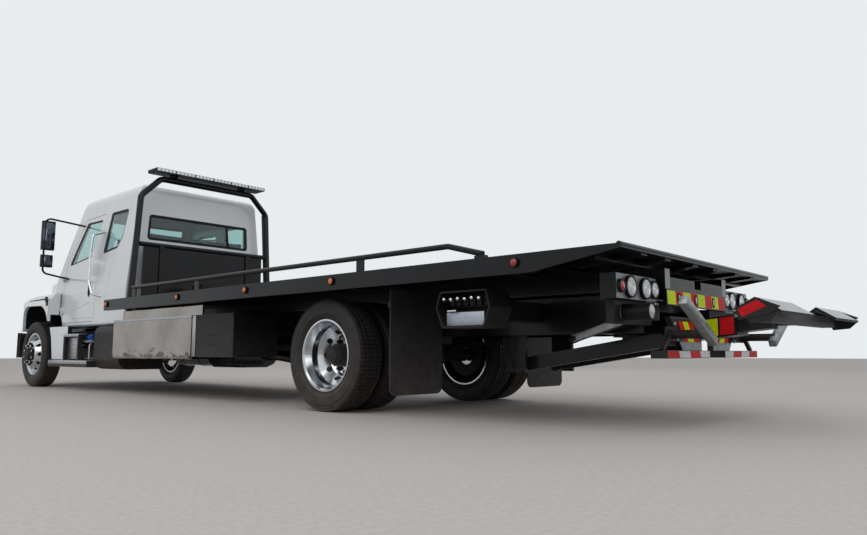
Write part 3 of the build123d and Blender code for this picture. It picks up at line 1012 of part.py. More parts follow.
with BuildPart() as lift_arm:
    for side in (1, -1):
        bar((LIFT_PIVOT_X, side * 250, LIFT_PIVOT_Z), (T + 233, side * 250, 575), 36, 105)
        rod((LIFT_PIVOT_X, side * 226, LIFT_PIVOT_Z), (LIFT_PIVOT_X, side * 274, LIFT_PIVOT_Z), 116)
        cross_plate([(side * 100, 500), (side * 420, 500), (side * 600, 718), (side * 100, 718)], (T + 33, T + 73))
        block((T - 37, T + 73), sorted((side * 140, side * 810)), (450, 500))
    rod((LIFT_PIVOT_X, -348, LIFT_PIVOT_Z), (LIFT_PIVOT_X, 348, LIFT_PIVOT_Z), TILT_PIN_D)
    block((T + 213, T + 283), (-268, 268), (535, 605))
    bar(boom_point(BOOM_FRONT_X), boom_point(BOOM_REAR_X), SLEEVE[0], SLEEVE[1])
    bar(boom_point(BOOM_FRONT_X - 60), boom_point(BOOM_REAR_X - 10), BOOM_SECTION[0] + 2 * SLIDE_GAP,
        BOOM_SECTION[1] + 2 * SLIDE_GAP, Mode.SUBTRACT)
    lug_pair((BOOM_FRONT_X - 20, LIFT_EYE[0] + 36), 0, (LIFT_EYE[1] - 40, LIFT_EYE[1] + 12))
lift_arm.part.label = "lift_arm"
export_step(lift_arm.part, "parts/lift_arm.step")

# Stowed wheel arms: a square bar on a stub, bolted to the leg plate, and a gusset down to the foot
with BuildPart() as l_arms:
    cross_plate([(430, 560), (690, 560), (690, 650), (545, 650)], (T + 21, T + 33 - GAP))
    rod((T + 21, 640, 600), (T - 227, 640, 600), 56)
    bar((T - 227, 565, 552), (T - 227, 1000, 790), 50, 50)
    bar((T + 8, 640, 620), (T + 8, 790, 500 + GAP), 26, 26)
    block((T - 30, T + 60), (700, 900), (400, 500 + GAP), Mode.SUBTRACT)
    for y in (470, 660):
        rod((T + 9, y, 610), (T + 21, y, 610), 22)
    mirror(about=Plane.XZ)
l_arms.part.label = "l_arms"
export_step(l_arms.part, "parts/l_arms.step")

TONGUE_X = BOOM_TIP_X + 265
with BuildPart() as boom:
    bar(boom_point(BOOM_FRONT_X - 150), boom_point(BOOM_END_X), BOOM_SECTION[0], BOOM_SECTION[1])
    block((TONGUE_X - 45, BOOM_END_X + 40), (-60, 60), (boom_point(TONGUE_X)[2] - 15, boom_point(TONGUE_X)[2] + 15))
    rod((TONGUE_X, 0, 600), (TONGUE_X, 0, 800), 40 + 2 * BEARING_GAP, Mode.SUBTRACT)
boom.part.label = "boom"
export_step(boom.part, "parts/boom.step")

# Crossbar with a wheel pan at each end
TONGUE_Z = boom_point(TONGUE_X)[2]
with BuildPart() as crossbar:
    for z in ((TONGUE_Z - 37, TONGUE_Z - 15 - SLIDE_GAP), (TONGUE_Z + 15 + SLIDE_GAP, TONGUE_Z + 37)):
        rod((TONGUE_X, 0, z[0]), (TONGUE_X, 0, z[1]), 80)
        block((TONGUE_X - 110, TONGUE_X), (-40, 40), z)
    rod((TONGUE_X, 0, TONGUE_Z - 37), (TONGUE_X, 0, TONGUE_Z + 37), 40)
    block((TONGUE_X - 150, TONGUE_X - 70), (-700, 700), (TONGUE_Z - 37, TONGUE_Z + 37))
    for side in (1, -1):
        side_plate([(BOOM_TIP_X, 715), (BOOM_TIP_X + 120, 790), (BOOM_TIP_X + 205, 730), (BOOM_TIP_X + 190, 715),
                    (BOOM_TIP_X + 120, 765), (BOOM_TIP_X + 10, 700)], sorted((side * 260, side * 895)))
        side_plate([(BOOM_TIP_X, 715), (BOOM_TIP_X + 120, 790), (BOOM_TIP_X + 205, 730), (BOOM_TIP_X + 170, 650),
                    (BOOM_TIP_X + 60, 660)], sorted((side * 893, side * 905)))
crossbar.part.label = "crossbar"
export_step(crossbar.part, "parts/crossbar.step")
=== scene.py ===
# %% [markdown]
# # Dressing a flatbed tow truck
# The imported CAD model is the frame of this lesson: a cab and a hood, a steel bed that slides and tilts,
# and a folded wheel lift at the rear. Every solid already has its real size and place, so nothing is
# fitted here. This script gives each surface its finish and adds the fine pieces that a drawing office
# leaves out, such as tread blocks, lamp lenses, gaskets, tape and bolts.

# %% Load the frame
import math

import bmesh
import bpy
from mathutils import Matrix, Vector


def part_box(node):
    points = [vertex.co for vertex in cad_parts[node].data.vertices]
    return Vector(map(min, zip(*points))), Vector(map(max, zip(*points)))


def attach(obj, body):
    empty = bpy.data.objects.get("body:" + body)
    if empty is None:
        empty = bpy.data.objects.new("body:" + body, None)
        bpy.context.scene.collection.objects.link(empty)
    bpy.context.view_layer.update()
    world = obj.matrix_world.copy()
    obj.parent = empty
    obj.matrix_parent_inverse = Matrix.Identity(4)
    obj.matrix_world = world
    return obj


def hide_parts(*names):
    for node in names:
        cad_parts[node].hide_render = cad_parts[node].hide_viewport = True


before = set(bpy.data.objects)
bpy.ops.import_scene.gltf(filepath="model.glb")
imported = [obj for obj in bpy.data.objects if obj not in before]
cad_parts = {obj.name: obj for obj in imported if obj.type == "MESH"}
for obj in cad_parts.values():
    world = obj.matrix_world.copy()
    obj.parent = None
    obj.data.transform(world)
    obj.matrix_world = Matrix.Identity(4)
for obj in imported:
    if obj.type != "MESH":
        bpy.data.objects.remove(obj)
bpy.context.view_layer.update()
FRONT_AXLE_X = 4.555
REAR_AXLE_X = -2.035
AXLE_Z = 0.465
SIDES = (("left", 1), ("right", -1))

# %% [markdown]
# ## Where the picture was taken
# A camera is a place, a direction and a lens. The photograph's lines were solved for these: someone stood
# at the left rear corner, knee high, and looked a little up along the truck. Depth of field stays off,
# because the whole vehicle is sharp.

# %% Camera
PHOTO_WIDTH = 867
FOCAL_PIXELS = 715.36
EYE = Vector((-6.728, 5.024, 0.4876))
HEADING = -0.8364
PITCH = 0.1182

lens = bpy.data.cameras.new("photo_camera")
lens.sensor_width = 36.0
lens.lens = FOCAL_PIXELS / PHOTO_WIDTH * lens.sensor_width
lens.clip_end = 200.0
camera = bpy.data.objects.new("photo_camera", lens)
bpy.context.scene.collection.objects.link(camera)
gaze = Vector((math.cos(PITCH) * math.cos(HEADING), math.cos(PITCH) * math.sin(HEADING), math.sin(PITCH)))
camera.matrix_world = Matrix.Translation(EYE) @ gaze.to_track_quat("-Z", "Y").to_matrix().to_4x4()
bpy.context.scene.camera = camera
bpy.context.scene.view_settings.view_transform = "Standard"
print("lens", round(lens.lens, 2), "mm")

# %% [markdown]
# ## Colours and nodes
# Paint charts and tape suppliers give colours as sRGB hex codes, but a shader works in linear light, so one
# function turns one into the other. A second small function adds a node with its settings and its links,
# which keeps each finish below short enough to read.

# %% Two small tools for finishes
def linear(code):
    """An sRGB hex code as the linear colour that a shader takes."""
    parts = [int(code[i:i + 2], 16) / 255 for i in (1, 3, 5)]
    return tuple(c / 12.92 if c <= 0.04045 else ((c + 0.055) / 1.055) ** 2.4 for c in parts) + (1.0,)


def add_node(tree, kind, settings=None, links=None):
    """Adds a node. Settings are properties or input values, links are the outputs that feed its inputs."""
    node = tree.nodes.new(kind)
    for key, value in (settings or {}).items():
        if isinstance(key, int) or key in node.inputs:
            node.inputs[key].default_value = value
        else:
            setattr(node, key, value)
    for key, output in (links or {}).items():
        tree.links.new(output, node.inputs[key])
    return node


# %% [markdown]
# ## The yard and its light
# The truck stands in the open under a bright, even cloud layer. A pale world gives metal and black paint
# something to mirror, one wide lamp above the left side stands for the brightest cloud, and a pale floor
# catches the soft shadow.

# %% Sky, lamps and floor
world = bpy.data.worlds.new("cloud_layer")
bpy.context.scene.world = world
world.use_nodes = True
sky = world.node_tree
sky.nodes.clear()
direction = add_node(sky, "ShaderNodeTexCoord")
height = add_node(sky, "ShaderNodeSeparateXYZ", links={0: direction.outputs["Generated"]})
rise = add_node(sky, "ShaderNodeMapRange", {"From Min": -0.06, "From Max": 0.5}, {"Value": height.outputs["Z"]})
clouds = add_node(sky, "ShaderNodeTexNoise", {"Scale": 2.6, "Detail": 5.0, "Roughness": 0.6},
                  {"Vector": direction.outputs["Generated"]})
haze = add_node(sky, "ShaderNodeMix", {"data_type": "RGBA", 6: linear("#F4F5F6"), 7: linear("#C3CBD2")},
                {0: rise.outputs[0]})
cloudy = add_node(sky, "ShaderNodeMix", {"data_type": "RGBA", 7: linear("#EDF0F2")},
                  {0: clouds.outputs["Fac"], 6: haze.outputs[2]})
ground_or_sky = add_node(sky, "ShaderNodeMath", {"operation": "GREATER_THAN", 1: -0.02},
                         {0: height.outputs["Z"]})
surround = add_node(sky, "ShaderNodeMix", {"data_type": "RGBA", 6: linear("#A39C96")},
                    {0: ground_or_sky.outputs[0], 7: cloudy.outputs[2]})
seen = add_node(sky, "ShaderNodeLightPath")
lit = add_node(sky, "ShaderNodeBackground", {"Strength": 0.76}, {"Color": surround.outputs[2]})
backdrop = add_node(sky, "ShaderNodeBackground", {"Color": linear("#E9ECEE"), "Strength": 1.0})
mirrored = add_node(sky, "ShaderNodeMath", {"operation": "MAXIMUM"},
                    {0: seen.outputs["Is Glossy Ray"], 1: seen.outputs["Is Transmission Ray"]})
straight = add_node(sky, "ShaderNodeMath", {"operation": "MAXIMUM"},
                    {0: seen.outputs["Is Camera Ray"], 1: mirrored.outputs[0]})
choose = add_node(sky, "ShaderNodeMixShader", links={0: straight.outputs[0], 1: lit.outputs[0],
                                                     2: backdrop.outputs[0]})
add_node(sky, "ShaderNodeOutputWorld", links={"Surface": choose.outputs[0]})

for name, place, aim, size, watts in (
        ("bright_cloud", (-3.0, 9.0, 9.0), (0.0, 0.0, 1.0), 9.0, 330.0),
        ("far_cloud", (4.0, -10.0, 9.0), (0.0, 0.0, 1.0), 10.0, 130.0),
        ("rear_cloud", (-13.0, 1.0, 5.0), (-3.0, 0.0, 0.8), 6.0, 110.0)):
    lamp = bpy.data.lights.new(name, "AREA")
    lamp.size = size
    lamp.energy = watts
    holder = bpy.data.objects.new(name, lamp)
    bpy.context.scene.collection.objects.link(holder)
    away = Vector(aim) - Vector(place)
    holder.matrix_world = Matrix.Translation(place) @ away.to_track_quat("-Z", "Y").to_matrix().to_4x4()

floor_mesh = bmesh.new()
bmesh.ops.create_grid(floor_mesh, x_segments=1, y_segments=1, size=60.0)
floor_data = bpy.data.meshes.new("yard_floor")
floor_mesh.to_mesh(floor_data)
floor_mesh.free()
yard_floor = bpy.data.objects.new("yard_floor", floor_data)
bpy.context.scene.collection.objects.link(yard_floor)

pale_ground = bpy.data.materials.new("pale_gravel")
pale_ground.use_nodes = True
ground = pale_ground.node_tree
ground_shader = ground.nodes["Principled BSDF"]
ground_shader.inputs["Roughness"].default_value = 0.9
where = add_node(ground, "ShaderNodeTexCoord")
stones = add_node(ground, "ShaderNodeTexNoise", {"Scale": 38.0, "Detail": 3.0}, {"Vector": where.outputs["Object"]})
stone_colour = add_node(ground, "ShaderNodeMix", {"data_type": "RGBA", 6: linear("#B9B1AB"), 7: linear("#D3CDC8")},
                        {0: stones.outputs["Fac"]})
relief = add_node(ground, "ShaderNodeBump", {"Strength": 0.35, "Distance": 0.01}, {"Height": stones.outputs["Fac"]})
ground.links.new(stone_colour.outputs[2], ground_shader.inputs["Base Color"])
ground.links.new(relief.outputs[0], ground_shader.inputs["Normal"])
floor_data.materials.append(pale_ground)

# %% [markdown]
# ## How a finish is made
# Every finish starts from what the real surface is and how it was made. Most of them share two habits:
# the colour drifts a little in soft patches, and the surface has a fine relief, such as the orange peel of
# sprayed paint or the grain of a mould. Both are patterns on object coordinates, with sizes in millimetres,
# so a lamp bezel and a bed plate get the same grain. Dust settles low on a truck, so a finish can also
# pick up a film of it near the road.

# %% Patterns shared by the finishes
MM = 0.001


def start_finish(name, colour, settings):
    """A new material with its base colour and its shader's plain settings."""
    finish = bpy.data.materials.new(name)
    finish.use_nodes = True
    shader = finish.node_tree.nodes["Principled BSDF"]
    shader.inputs["Base Color"].default_value = linear(colour)
    for key, value in settings.items():
        shader.inputs[key].default_value = value
    return finish, finish.node_tree, shader


def drift(tree, shader, colour, other, patch_mm):
    """Lets the base colour drift to another in soft patches."""
    place = add_node(tree, "ShaderNodeTexCoord")
    noise = add_node(tree, "ShaderNodeTexNoise", {"Scale": 1 / (patch_mm * MM), "Detail": 4.0},
                     {"Vector": place.outputs["Object"]})
    spread = add_node(tree, "ShaderNodeMapRange", {"From Min": 0.35, "From Max": 0.65}, {"Value": noise.outputs["Fac"]})
    mixed = add_node(tree, "ShaderNodeMix", {"data_type": "RGBA", 6: linear(colour), 7: linear(other)},
                     {0: spread.outputs[0]})
    tree.links.new(mixed.outputs[2], shader.inputs["Base Color"])
    return mixed.outputs[2]


def relief_grain(tree, shader, grain_mm, depth_mm):
    """Gives the surface a fine relief of one grain size."""
    place = add_node(tree, "ShaderNodeTexCoord")
    noise = add_node(tree, "ShaderNodeTexNoise", {"Scale": 1 / (grain_mm * MM), "Detail": 2.0},
                     {"Vector": place.outputs["Object"]})
    bump = add_node(tree, "ShaderNodeBump", {"Strength": 1.0, "Distance": depth_mm * MM}, {"Height": noise.outputs["Fac"]})
    tree.links.new(bump.outputs[0], shader.inputs["Normal"])


def road_dust(tree, shader, colour, top_m, most):
    """Mixes a dust colour in below a height, thickest at the road and broken up by noise."""
    place = add_node(tree, "ShaderNodeTexCoord")
    height = add_node(tree, "ShaderNodeSeparateXYZ", links={0: place.outputs["Object"]})
    low = add_node(tree, "ShaderNodeMapRange", {"From Min": top_m, "From Max": 0.0, "To Max": most},
                   {"Value": height.outputs["Z"]})
    noise = add_node(tree, "ShaderNodeTexNoise", {"Scale": 14.0, "Detail": 6.0}, {"Vector": place.outputs["Object"]})
    patchy = add_node(tree, "ShaderNodeMath", {"operation": "MULTIPLY"}, {0: low.outputs[0], 1: noise.outputs["Fac"]})
    dusty = add_node(tree, "ShaderNodeMix", {"data_type": "RGBA", 7: linear("#8C8178")},
                     {0: patchy.outputs[0], 6: colour})
    tree.links.new(dusty.outputs[2], shader.inputs["Base Color"])


# %% [markdown]
# ## Paints, plastics and rubbers
# Acrylic enamel on the cab is smooth with a faint orange peel and a clear coat. The bed and the chassis wear
# a black two-pack enamel, glossy enough to mirror the yard. Steps, brackets and boxes are powder coated,
# which is duller and grainier. Bumper, mirrors and fender trim are moulded ABS with a leathery mould grain.
# Mud flaps and gaskets are black rubber. The finishes differ only in numbers, so a table makes them.

# %% Table of painted, moulded and rubber finishes
finish = {}
PLAIN_FINISHES = (
    # name, colour, drifts to, patch mm, grain mm, depth mm, dust top m, metallic, roughness, coat
    ("white_enamel", "#DFE1E4", "#D7DADD", 700, 4, 0.010, 1.0, 0.0, 0.25, 0.7),
    ("black_enamel", "#0A0B0D", "#101114", 500, 4, 0.016, 0.6, 0.0, 0.30, 0.12),
    ("black_powder_coat", "#0E0F11", "#15171A", 160, 1.5, 0.05, 0.9, 0.0, 0.48, 0.0),
    ("moulded_black", "#131416", "#1B1C1F", 120, 1.2, 0.06, 0.9, 0.0, 0.52, 0.0),
    ("flap_rubber", "#1D1E20", "#27282A", 180, 2, 0.08, 1.0, 0.0, 0.58, 0.0),
    ("gasket_rubber", "#0A0A0B", "#111112", 60, 1, 0.03, 0.5, 0.0, 0.45, 0.0),
    ("axle_paint", "#101113", "#1C1B1A", 90, 3, 0.15, 1.0, 0.0, 0.55, 0.0),
    ("grey_enamel", "#6F7275", "#7B7E81", 200, 3, 0.02, 0.9, 0.3, 0.38, 0.2),
    ("cabin_plastic", "#3A3B3E", "#424347", 150, 1.2, 0.06, 0.2, 0.0, 0.60, 0.0),
    ("engine_paint", "#3C4042", "#2A2B2C", 80, 3, 0.2, 1.2, 0.2, 0.55, 0.0),
    ("cap_blue", "#1D4DA6", "#2456B0", 40, 1, 0.03, 0.5, 0.0, 0.35, 0.1),
)
for name, colour, other, patch, grain, depth, dust_top, metallic, roughness, coat in PLAIN_FINISHES:
    finish[name], tree, shader = start_finish(name, colour, {
        "Metallic": metallic, "Roughness": roughness, "Coat Weight": coat, "Coat Roughness": 0.08,
        "Specular IOR Level": 0.5 if "white" in name or "grey" in name else 0.22})
    tone = drift(tree, shader, colour, other, patch)
    road_dust(tree, shader, tone, dust_top, 0.22 if "white" in name else 0.35)
    relief_grain(tree, shader, grain, depth)
print("plain finishes", len(PLAIN_FINISHES))

# %% [markdown]
# ## Metals
# Forged wheels and step tanks are polished aluminium, toolbox doors are mirror-polished stainless steel that
# is never quite flat, and small fittings are zinc plated. A metal's look comes from what it mirrors, so
# these finishes differ in roughness and in how the sheet waves, and their dust is thin.

# %% Table of metals
METALS = (
    # name, colour, drifts to, patch mm, wave mm, wave depth mm, roughness
    ("polished_aluminium", "#D3D6D9", "#C4C8CC", 90, 30, 0.10, 0.17),
    ("mirror_stainless", "#98938E", "#837D77", 400, 240, 4.5, 0.05),
    ("brushed_aluminium", "#B4B7BA", "#A6A9AD", 60, 2, 0.03, 0.38),
    ("chrome_plate", "#E2E4E6", "#D9DBDE", 60, 40, 0.05, 0.06),
    ("zinc_plate", "#9FA2A5", "#85898D", 35, 6, 0.06, 0.42),
    ("bare_steel", "#7C7B79", "#5E5C5A", 30, 4, 0.10, 0.45),
    ("mirror_silver", "#59606A", "#525963", 300, 300, 0.02, 0.03),
)
for name, colour, other, patch, wave, depth, roughness in METALS:
    finish[name], tree, shader = start_finish(name, colour, {"Metallic": 1.0, "Roughness": roughness})
    tone = drift(tree, shader, colour, other, patch)
    road_dust(tree, shader, tone, 0.8, 0.12)
    relief_grain(tree, shader, wave, depth)
print("metals", len(METALS))

# %% [markdown]
# ## Glass, lenses and tape
# Cab glass is tempered and lightly tinted green. Lamp lenses are acrylic, moulded over a bright
# bowl, so they get a little transmission and a strong gloss. The retroreflective tape is a vinyl film with
# a honeycomb of tiny prisms, drawn here as coarse as a pixel can show.

# %% Clear and coloured films
finish["cab_glass"], tree, shader = start_finish("tinted_cab_glass", "#C4DEDC", {
    "Roughness": 0.02, "IOR": 1.5, "Transmission Weight": 1.0})
relief_grain(tree, shader, 400, 0.05)
LENSES = (("red_lens", "#B0141B", 0.25), ("amber_lens", "#F2730C", 0.25), ("clear_lens", "#D6DADD", 0.35),
          ("smoke_lens", "#6A6E72", 0.35))
for name, colour, see_through in LENSES:
    finish[name], tree, shader = start_finish(name, colour, {
        "Roughness": 0.12, "IOR": 1.49, "Transmission Weight": see_through, "Coat Weight": 0.5})
    relief_grain(tree, shader, 5, 0.4)
TAPES = (("red_tape", "#CC0F1C", "#B40B16"), ("white_tape", "#D7DADC", "#C5C9CC"), ("lime_tape", "#CDE300", "#BCD200"),
         ("blank_plate", "#B4BAC4", "#A9AFB9"))
for name, colour, other in TAPES:
    finish[name], tree, shader = start_finish(name, colour, {"Roughness": 0.5, "Specular IOR Level": 0.2})
    drift(tree, shader, colour, other, 25)
    place = add_node(tree, "ShaderNodeTexCoord")
    cells = add_node(tree, "ShaderNodeTexVoronoi", {"Scale": 1 / (6 * MM)}, {"Vector": place.outputs["Object"]})
    facets = add_node(tree, "ShaderNodeBump", {"Strength": 0.6, "Distance": 0.05 * MM}, {"Height": cells.outputs["Distance"]})
    tree.links.new(facets.outputs[0], shader.inputs["Normal"])
finish["blank_plate"].node_tree.nodes["Principled BSDF"].inputs["Metallic"].default_value = 0.7

# %% [markdown]
# ## Tyres and cloth
# Tyre rubber is carbon black with a dry, brownish bloom, and gravel dust sits in the lower sidewall. The
# seats are woven polyester: two crossed sets of threads, drawn 3 mm apart, which is coarser than real so
# that they show.

# %% Rubber and cloth
finish["tyre_rubber"], tree, shader = start_finish("tyre_rubber", "#121213", {"Roughness": 0.60, "Specular IOR Level": 0.35})
tone = drift(tree, shader, "#121213", "#1D1C1C", 70)
road_dust(tree, shader, tone, 0.95, 0.30)
relief_grain(tree, shader, 2, 0.08)

finish["seat_cloth"], tree, shader = start_finish("woven_polyester", "#4A4C50", {"Roughness": 0.85, "Sheen Weight": 0.3})
drift(tree, shader, "#44464A", "#54565B", 60)
place = add_node(tree, "ShaderNodeTexCoord")
warp = add_node(tree, "ShaderNodeTexWave", {"Scale": 1 / (3 * MM) / 3.1, "bands_direction": "X"},
                {"Vector": place.outputs["Object"]})
weft = add_node(tree, "ShaderNodeTexWave", {"Scale": 1 / (3 * MM) / 3.1, "bands_direction": "Y"},
                {"Vector": place.outputs["Object"]})
weave = add_node(tree, "ShaderNodeMath", {"operation": "MAXIMUM"}, {0: warp.outputs["Fac"], 1: weft.outputs["Fac"]})
threads = add_node(tree, "ShaderNodeBump", {"Strength": 0.8, "Distance": 0.4 * MM}, {"Height": weave.outputs[0]})
tree.links.new(threads.outputs[0], shader.inputs["Normal"])

# %% [markdown]
# ## Dressing the CAD solids
# Most solids keep their shape and only change finish. One table pairs each with what the real piece is made
# of, and a solid that isn't named would stop the script, so none stays plain.

# %% Finishes of the CAD solids
DRESS = {
    "white_enamel": ("cab_shell", "hood_shell", "door_left", "door_right"),
    "black_enamel": ("deck", "side_rails", "hoop", "tilt_frame", "boom", "lift_arm", "frame_rails"),
    "black_powder_coat": ("l_arms", "cab_steps", "side_boxes", "control_boxes", "light_boxes", "winch", "crossbar",
                          "tilt_barrels", "lift_barrels"),
    "moulded_black": ("front_bumper", "grille", "mirror_left", "mirror_right", "light_bar"),
    "axle_paint": ("front_axle", "rear_axle", "knuckle_left", "knuckle_right", "tie_rod", "driveline"),
    "engine_paint": ("engine_block",),
    "flap_rubber": ("mudflaps",),
    "tyre_rubber": ("tyre_front_left", "tyre_front_right", "tyres_rear_left", "tyres_rear_right"),
    "polished_aluminium": ("wheel_front_left", "wheel_front_right", "wheels_rear_left", "wheels_rear_right",
                           "fuel_tank"),
    "mirror_stainless": ("toolboxes", "toolbox_door_left", "toolbox_door_right"),
    "cab_glass": ("cab_glass", "door_glass_left", "door_glass_right"),
    "clear_lens": ("headlamps", "rear_lamps"),
    "gasket_rubber": ("bed_lamps",),
    "bare_steel": ("exhaust",),
    "chrome_plate": ("tilt_rods", "lift_rods", "grab_bars"),
    "seat_cloth": ("seats",),
    "cabin_plastic": ("dashboard",),
    "grey_enamel": ("hoop_strips",),
}
for finish_name, names in DRESS.items():
    for name in names:
        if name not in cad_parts:
            continue
        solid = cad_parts[name]
        for place in solid.material_slots:
            place.material = finish[finish_name]
undressed = set(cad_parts) - {name for names in DRESS.values() for name in names}
print("undressed solids", sorted(undressed))
assert not undressed

# %% [markdown]
# ## Tools for the added pieces
# Blocks, round bars, turned shapes and thin sheets make most fittings on a truck. Each tool adds one such
# form to a mesh that is being built, from a cube, a cone or a few points; blocks get rounded edges and bars
# chamfered ends from a bevel, because no real edge is perfectly sharp. The last tool cleans the mesh, gives
# it a finish and fastens the piece to the body that carries it.

# %% Forms and fastening
def add_block(form, x, y, z, round_mm=2.0):
    """A block between low and high places along each axis, with rounded edges."""
    corners = bmesh.ops.create_cube(form, size=1.0)["verts"]
    bmesh.ops.scale(form, verts=corners, vec=(x[1] - x[0], y[1] - y[0], z[1] - z[0]))
    bmesh.ops.translate(form, verts=corners, vec=((x[0] + x[1]) / 2, (y[0] + y[1]) / 2, (z[0] + z[1]) / 2))
    edges = list({edge for corner in corners for edge in corner.link_edges})
    bmesh.ops.bevel(form, geom=edges, offset=round_mm * MM, offset_type="OFFSET", segments=2, profile=0.5,
                    affect="EDGES", material=-1)


def add_bar(form, start, end, radius, sides=16, round_mm=1.0):
    """A round or many-sided bar between two points, with its ends chamfered."""
    run = Vector(end) - Vector(start)
    turn = Matrix.Translation((Vector(start) + Vector(end)) / 2) @ run.to_track_quat("Z", "Y").to_matrix().to_4x4()
    ring = bmesh.ops.create_cone(form, cap_ends=True, segments=sides, radius1=radius, radius2=radius,
                                 depth=run.length, matrix=turn)["verts"]
    rims = list({edge for corner in ring for edge in corner.link_edges
                 if abs((edge.verts[0].co - edge.verts[1].co).normalized().dot(run.normalized())) < 0.5})
    bmesh.ops.bevel(form, geom=rims, offset=round_mm * MM, offset_type="OFFSET", segments=1, profile=0.5,
                    affect="EDGES", material=-1)


def add_turned(form, middle, axis, outline, steps=32, ring=False):
    """Spins an outline of (radius, place along the axis) in millimetres fully about an axis."""
    axis = Vector(axis).normalized()
    out = axis.orthogonal().normalized()
    points = [form.verts.new(Vector(middle) + out * radius * MM + axis * along * MM) for radius, along in outline]
    pairs = list(zip(points, points[1:] + points[:1])) if ring else list(zip(points, points[1:]))
    lines = [form.edges.new(pair) for pair in pairs]
    return bmesh.ops.spin(form, geom=points + lines, cent=Vector(middle), axis=axis, dvec=(0, 0, 0),
                          angle=math.tau, steps=steps, use_merge=True, use_duplicate=False)


def add_sheet(form, corners, thick_mm):
    """A thin flat sheet from its corners, raised along the normal that their order gives."""
    flat = form.faces.new([form.verts.new(corner) for corner in corners])
    flat.normal_update()
    raised = bmesh.ops.extrude_face_region(form, geom=[flat], use_keep_orig=True)["geom"]
    bmesh.ops.translate(form, verts=[part for part in raised if isinstance(part, bmesh.types.BMVert)],
                        vec=flat.normal * thick_mm * MM)


def piece(form, name, look, body, replaces=()):
    """Cleans the mesh, gives it a finish and hands it over as a piece that rides on a body."""
    bmesh.ops.remove_doubles(form, verts=form.verts[:], dist=0.02 * MM)
    bmesh.ops.recalc_face_normals(form, faces=form.faces[:])
    data = bpy.data.meshes.new(name)
    form.to_mesh(data)
    form.free()
    data.shade_smooth()
    data.set_sharp_from_angle(angle=math.radians(35))
    data.materials.append(finish[look])
    made = bpy.data.objects.new(name, data)
    bpy.context.scene.collection.objects.link(made)
    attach(made, body)
    if replaces:
        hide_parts(*replaces)
    print(name, len(data.polygons), "faces")
    return made


# %% [markdown]
# ## Tyres
# A truck tyre is moulded, so its tread and rings come from one turned outline. The steer tyres at the front
# have unbroken ribs between grooves. The drive tyres at the rear are cut into blocks, which here are the
# faces of the spun tread, each inset and pushed out on its own. The sidewalls carry rings only, no lettering.

# %% Steer and drive tyres
SIDEWALL = [(286.8, 0.0), (287, 94.6), (300.4, 99.4), (308, 99.4), (310, 107), (316, 112.5), (322, 113), (325, 116),
            (345, 121.5), (347, 123.5), (352, 124.0), (355, 123.2), (374, 127.2), (398, 124.5), (402, 125.6), (407, 124.6),
            (410, 122.2), (430, 117.5), (433, 118.4), (438, 116.4), (446, 111.8)]
RIBS = [(451, 110.5), (453, 107.5), (459.5, 104), (463.5, 98), (464.6, 90), (464.7, 66), (453, 63.5), (453, 57.5),
        (464.8, 55), (464.9, 24), (453, 21.5), (453, 15.5), (465, 13.0), (465, 0.0)]
BLOCK_ZONES = [(452.6, 106), (452.8, 65), (446, 63), (446, 57), (453, 55), (453, 24), (446, 22), (446, 16), (453, 14), (453, 0.0)]


def mirrored_outline(half):
    """A closed outline from its half, which runs from the bore to the middle of the tread."""
    return half + [(radius, -along) for radius, along in reversed(half[:-1])]


for name, side in SIDES:
    form = bmesh.new()
    add_turned(form, (FRONT_AXLE_X, side * 1.055, AXLE_Z), (0, 1, 0), mirrored_outline(SIDEWALL[1:] + RIBS), 96, ring=True)
    piece(form, f"steer_tyre_{name}", "tyre_rubber", f"front_wheel_{name}", (f"tyre_front_{name}",))

    form = bmesh.new()
    for place in (0.905 - 0.166, 0.905 + 0.166):
        middle = Vector((REAR_AXLE_X, side * place, AXLE_Z))
        add_turned(form, middle, (0, 1, 0), mirrored_outline(SIDEWALL[1:] + BLOCK_ZONES), 84, ring=True)
    bmesh.ops.remove_doubles(form, verts=form.verts[:], dist=0.02 * MM)
    bmesh.ops.recalc_face_normals(form, faces=form.faces[:])
    axle_line = Vector((REAR_AXLE_X, 0.0, AXLE_Z))
    blocks = []
    for face in form.faces:
        out = face.calc_center_median() - axle_line
        out.y = 0.0
        if out.length > 0.4485 and face.normal.dot(out.normalized()) > 0.6:
            blocks.append(face)
    bmesh.ops.inset_individual(form, faces=blocks, thickness=3.2 * MM, depth=11.6 * MM, use_even_offset=True)
    print("tread blocks", len(blocks))
    piece(form, f"drive_tyres_{name}", "tyre_rubber", f"rear_wheels_{name}", (f"tyres_rear_{name}",))

# %% [markdown]
# ## Hubs and nuts
# The aluminium discs are polished, but the oil-bath hubs, the axle flanges and the push-on nut covers are
# dark. Each is a turned shape that fits just over the CAD form, spun about the axle or about its stud.

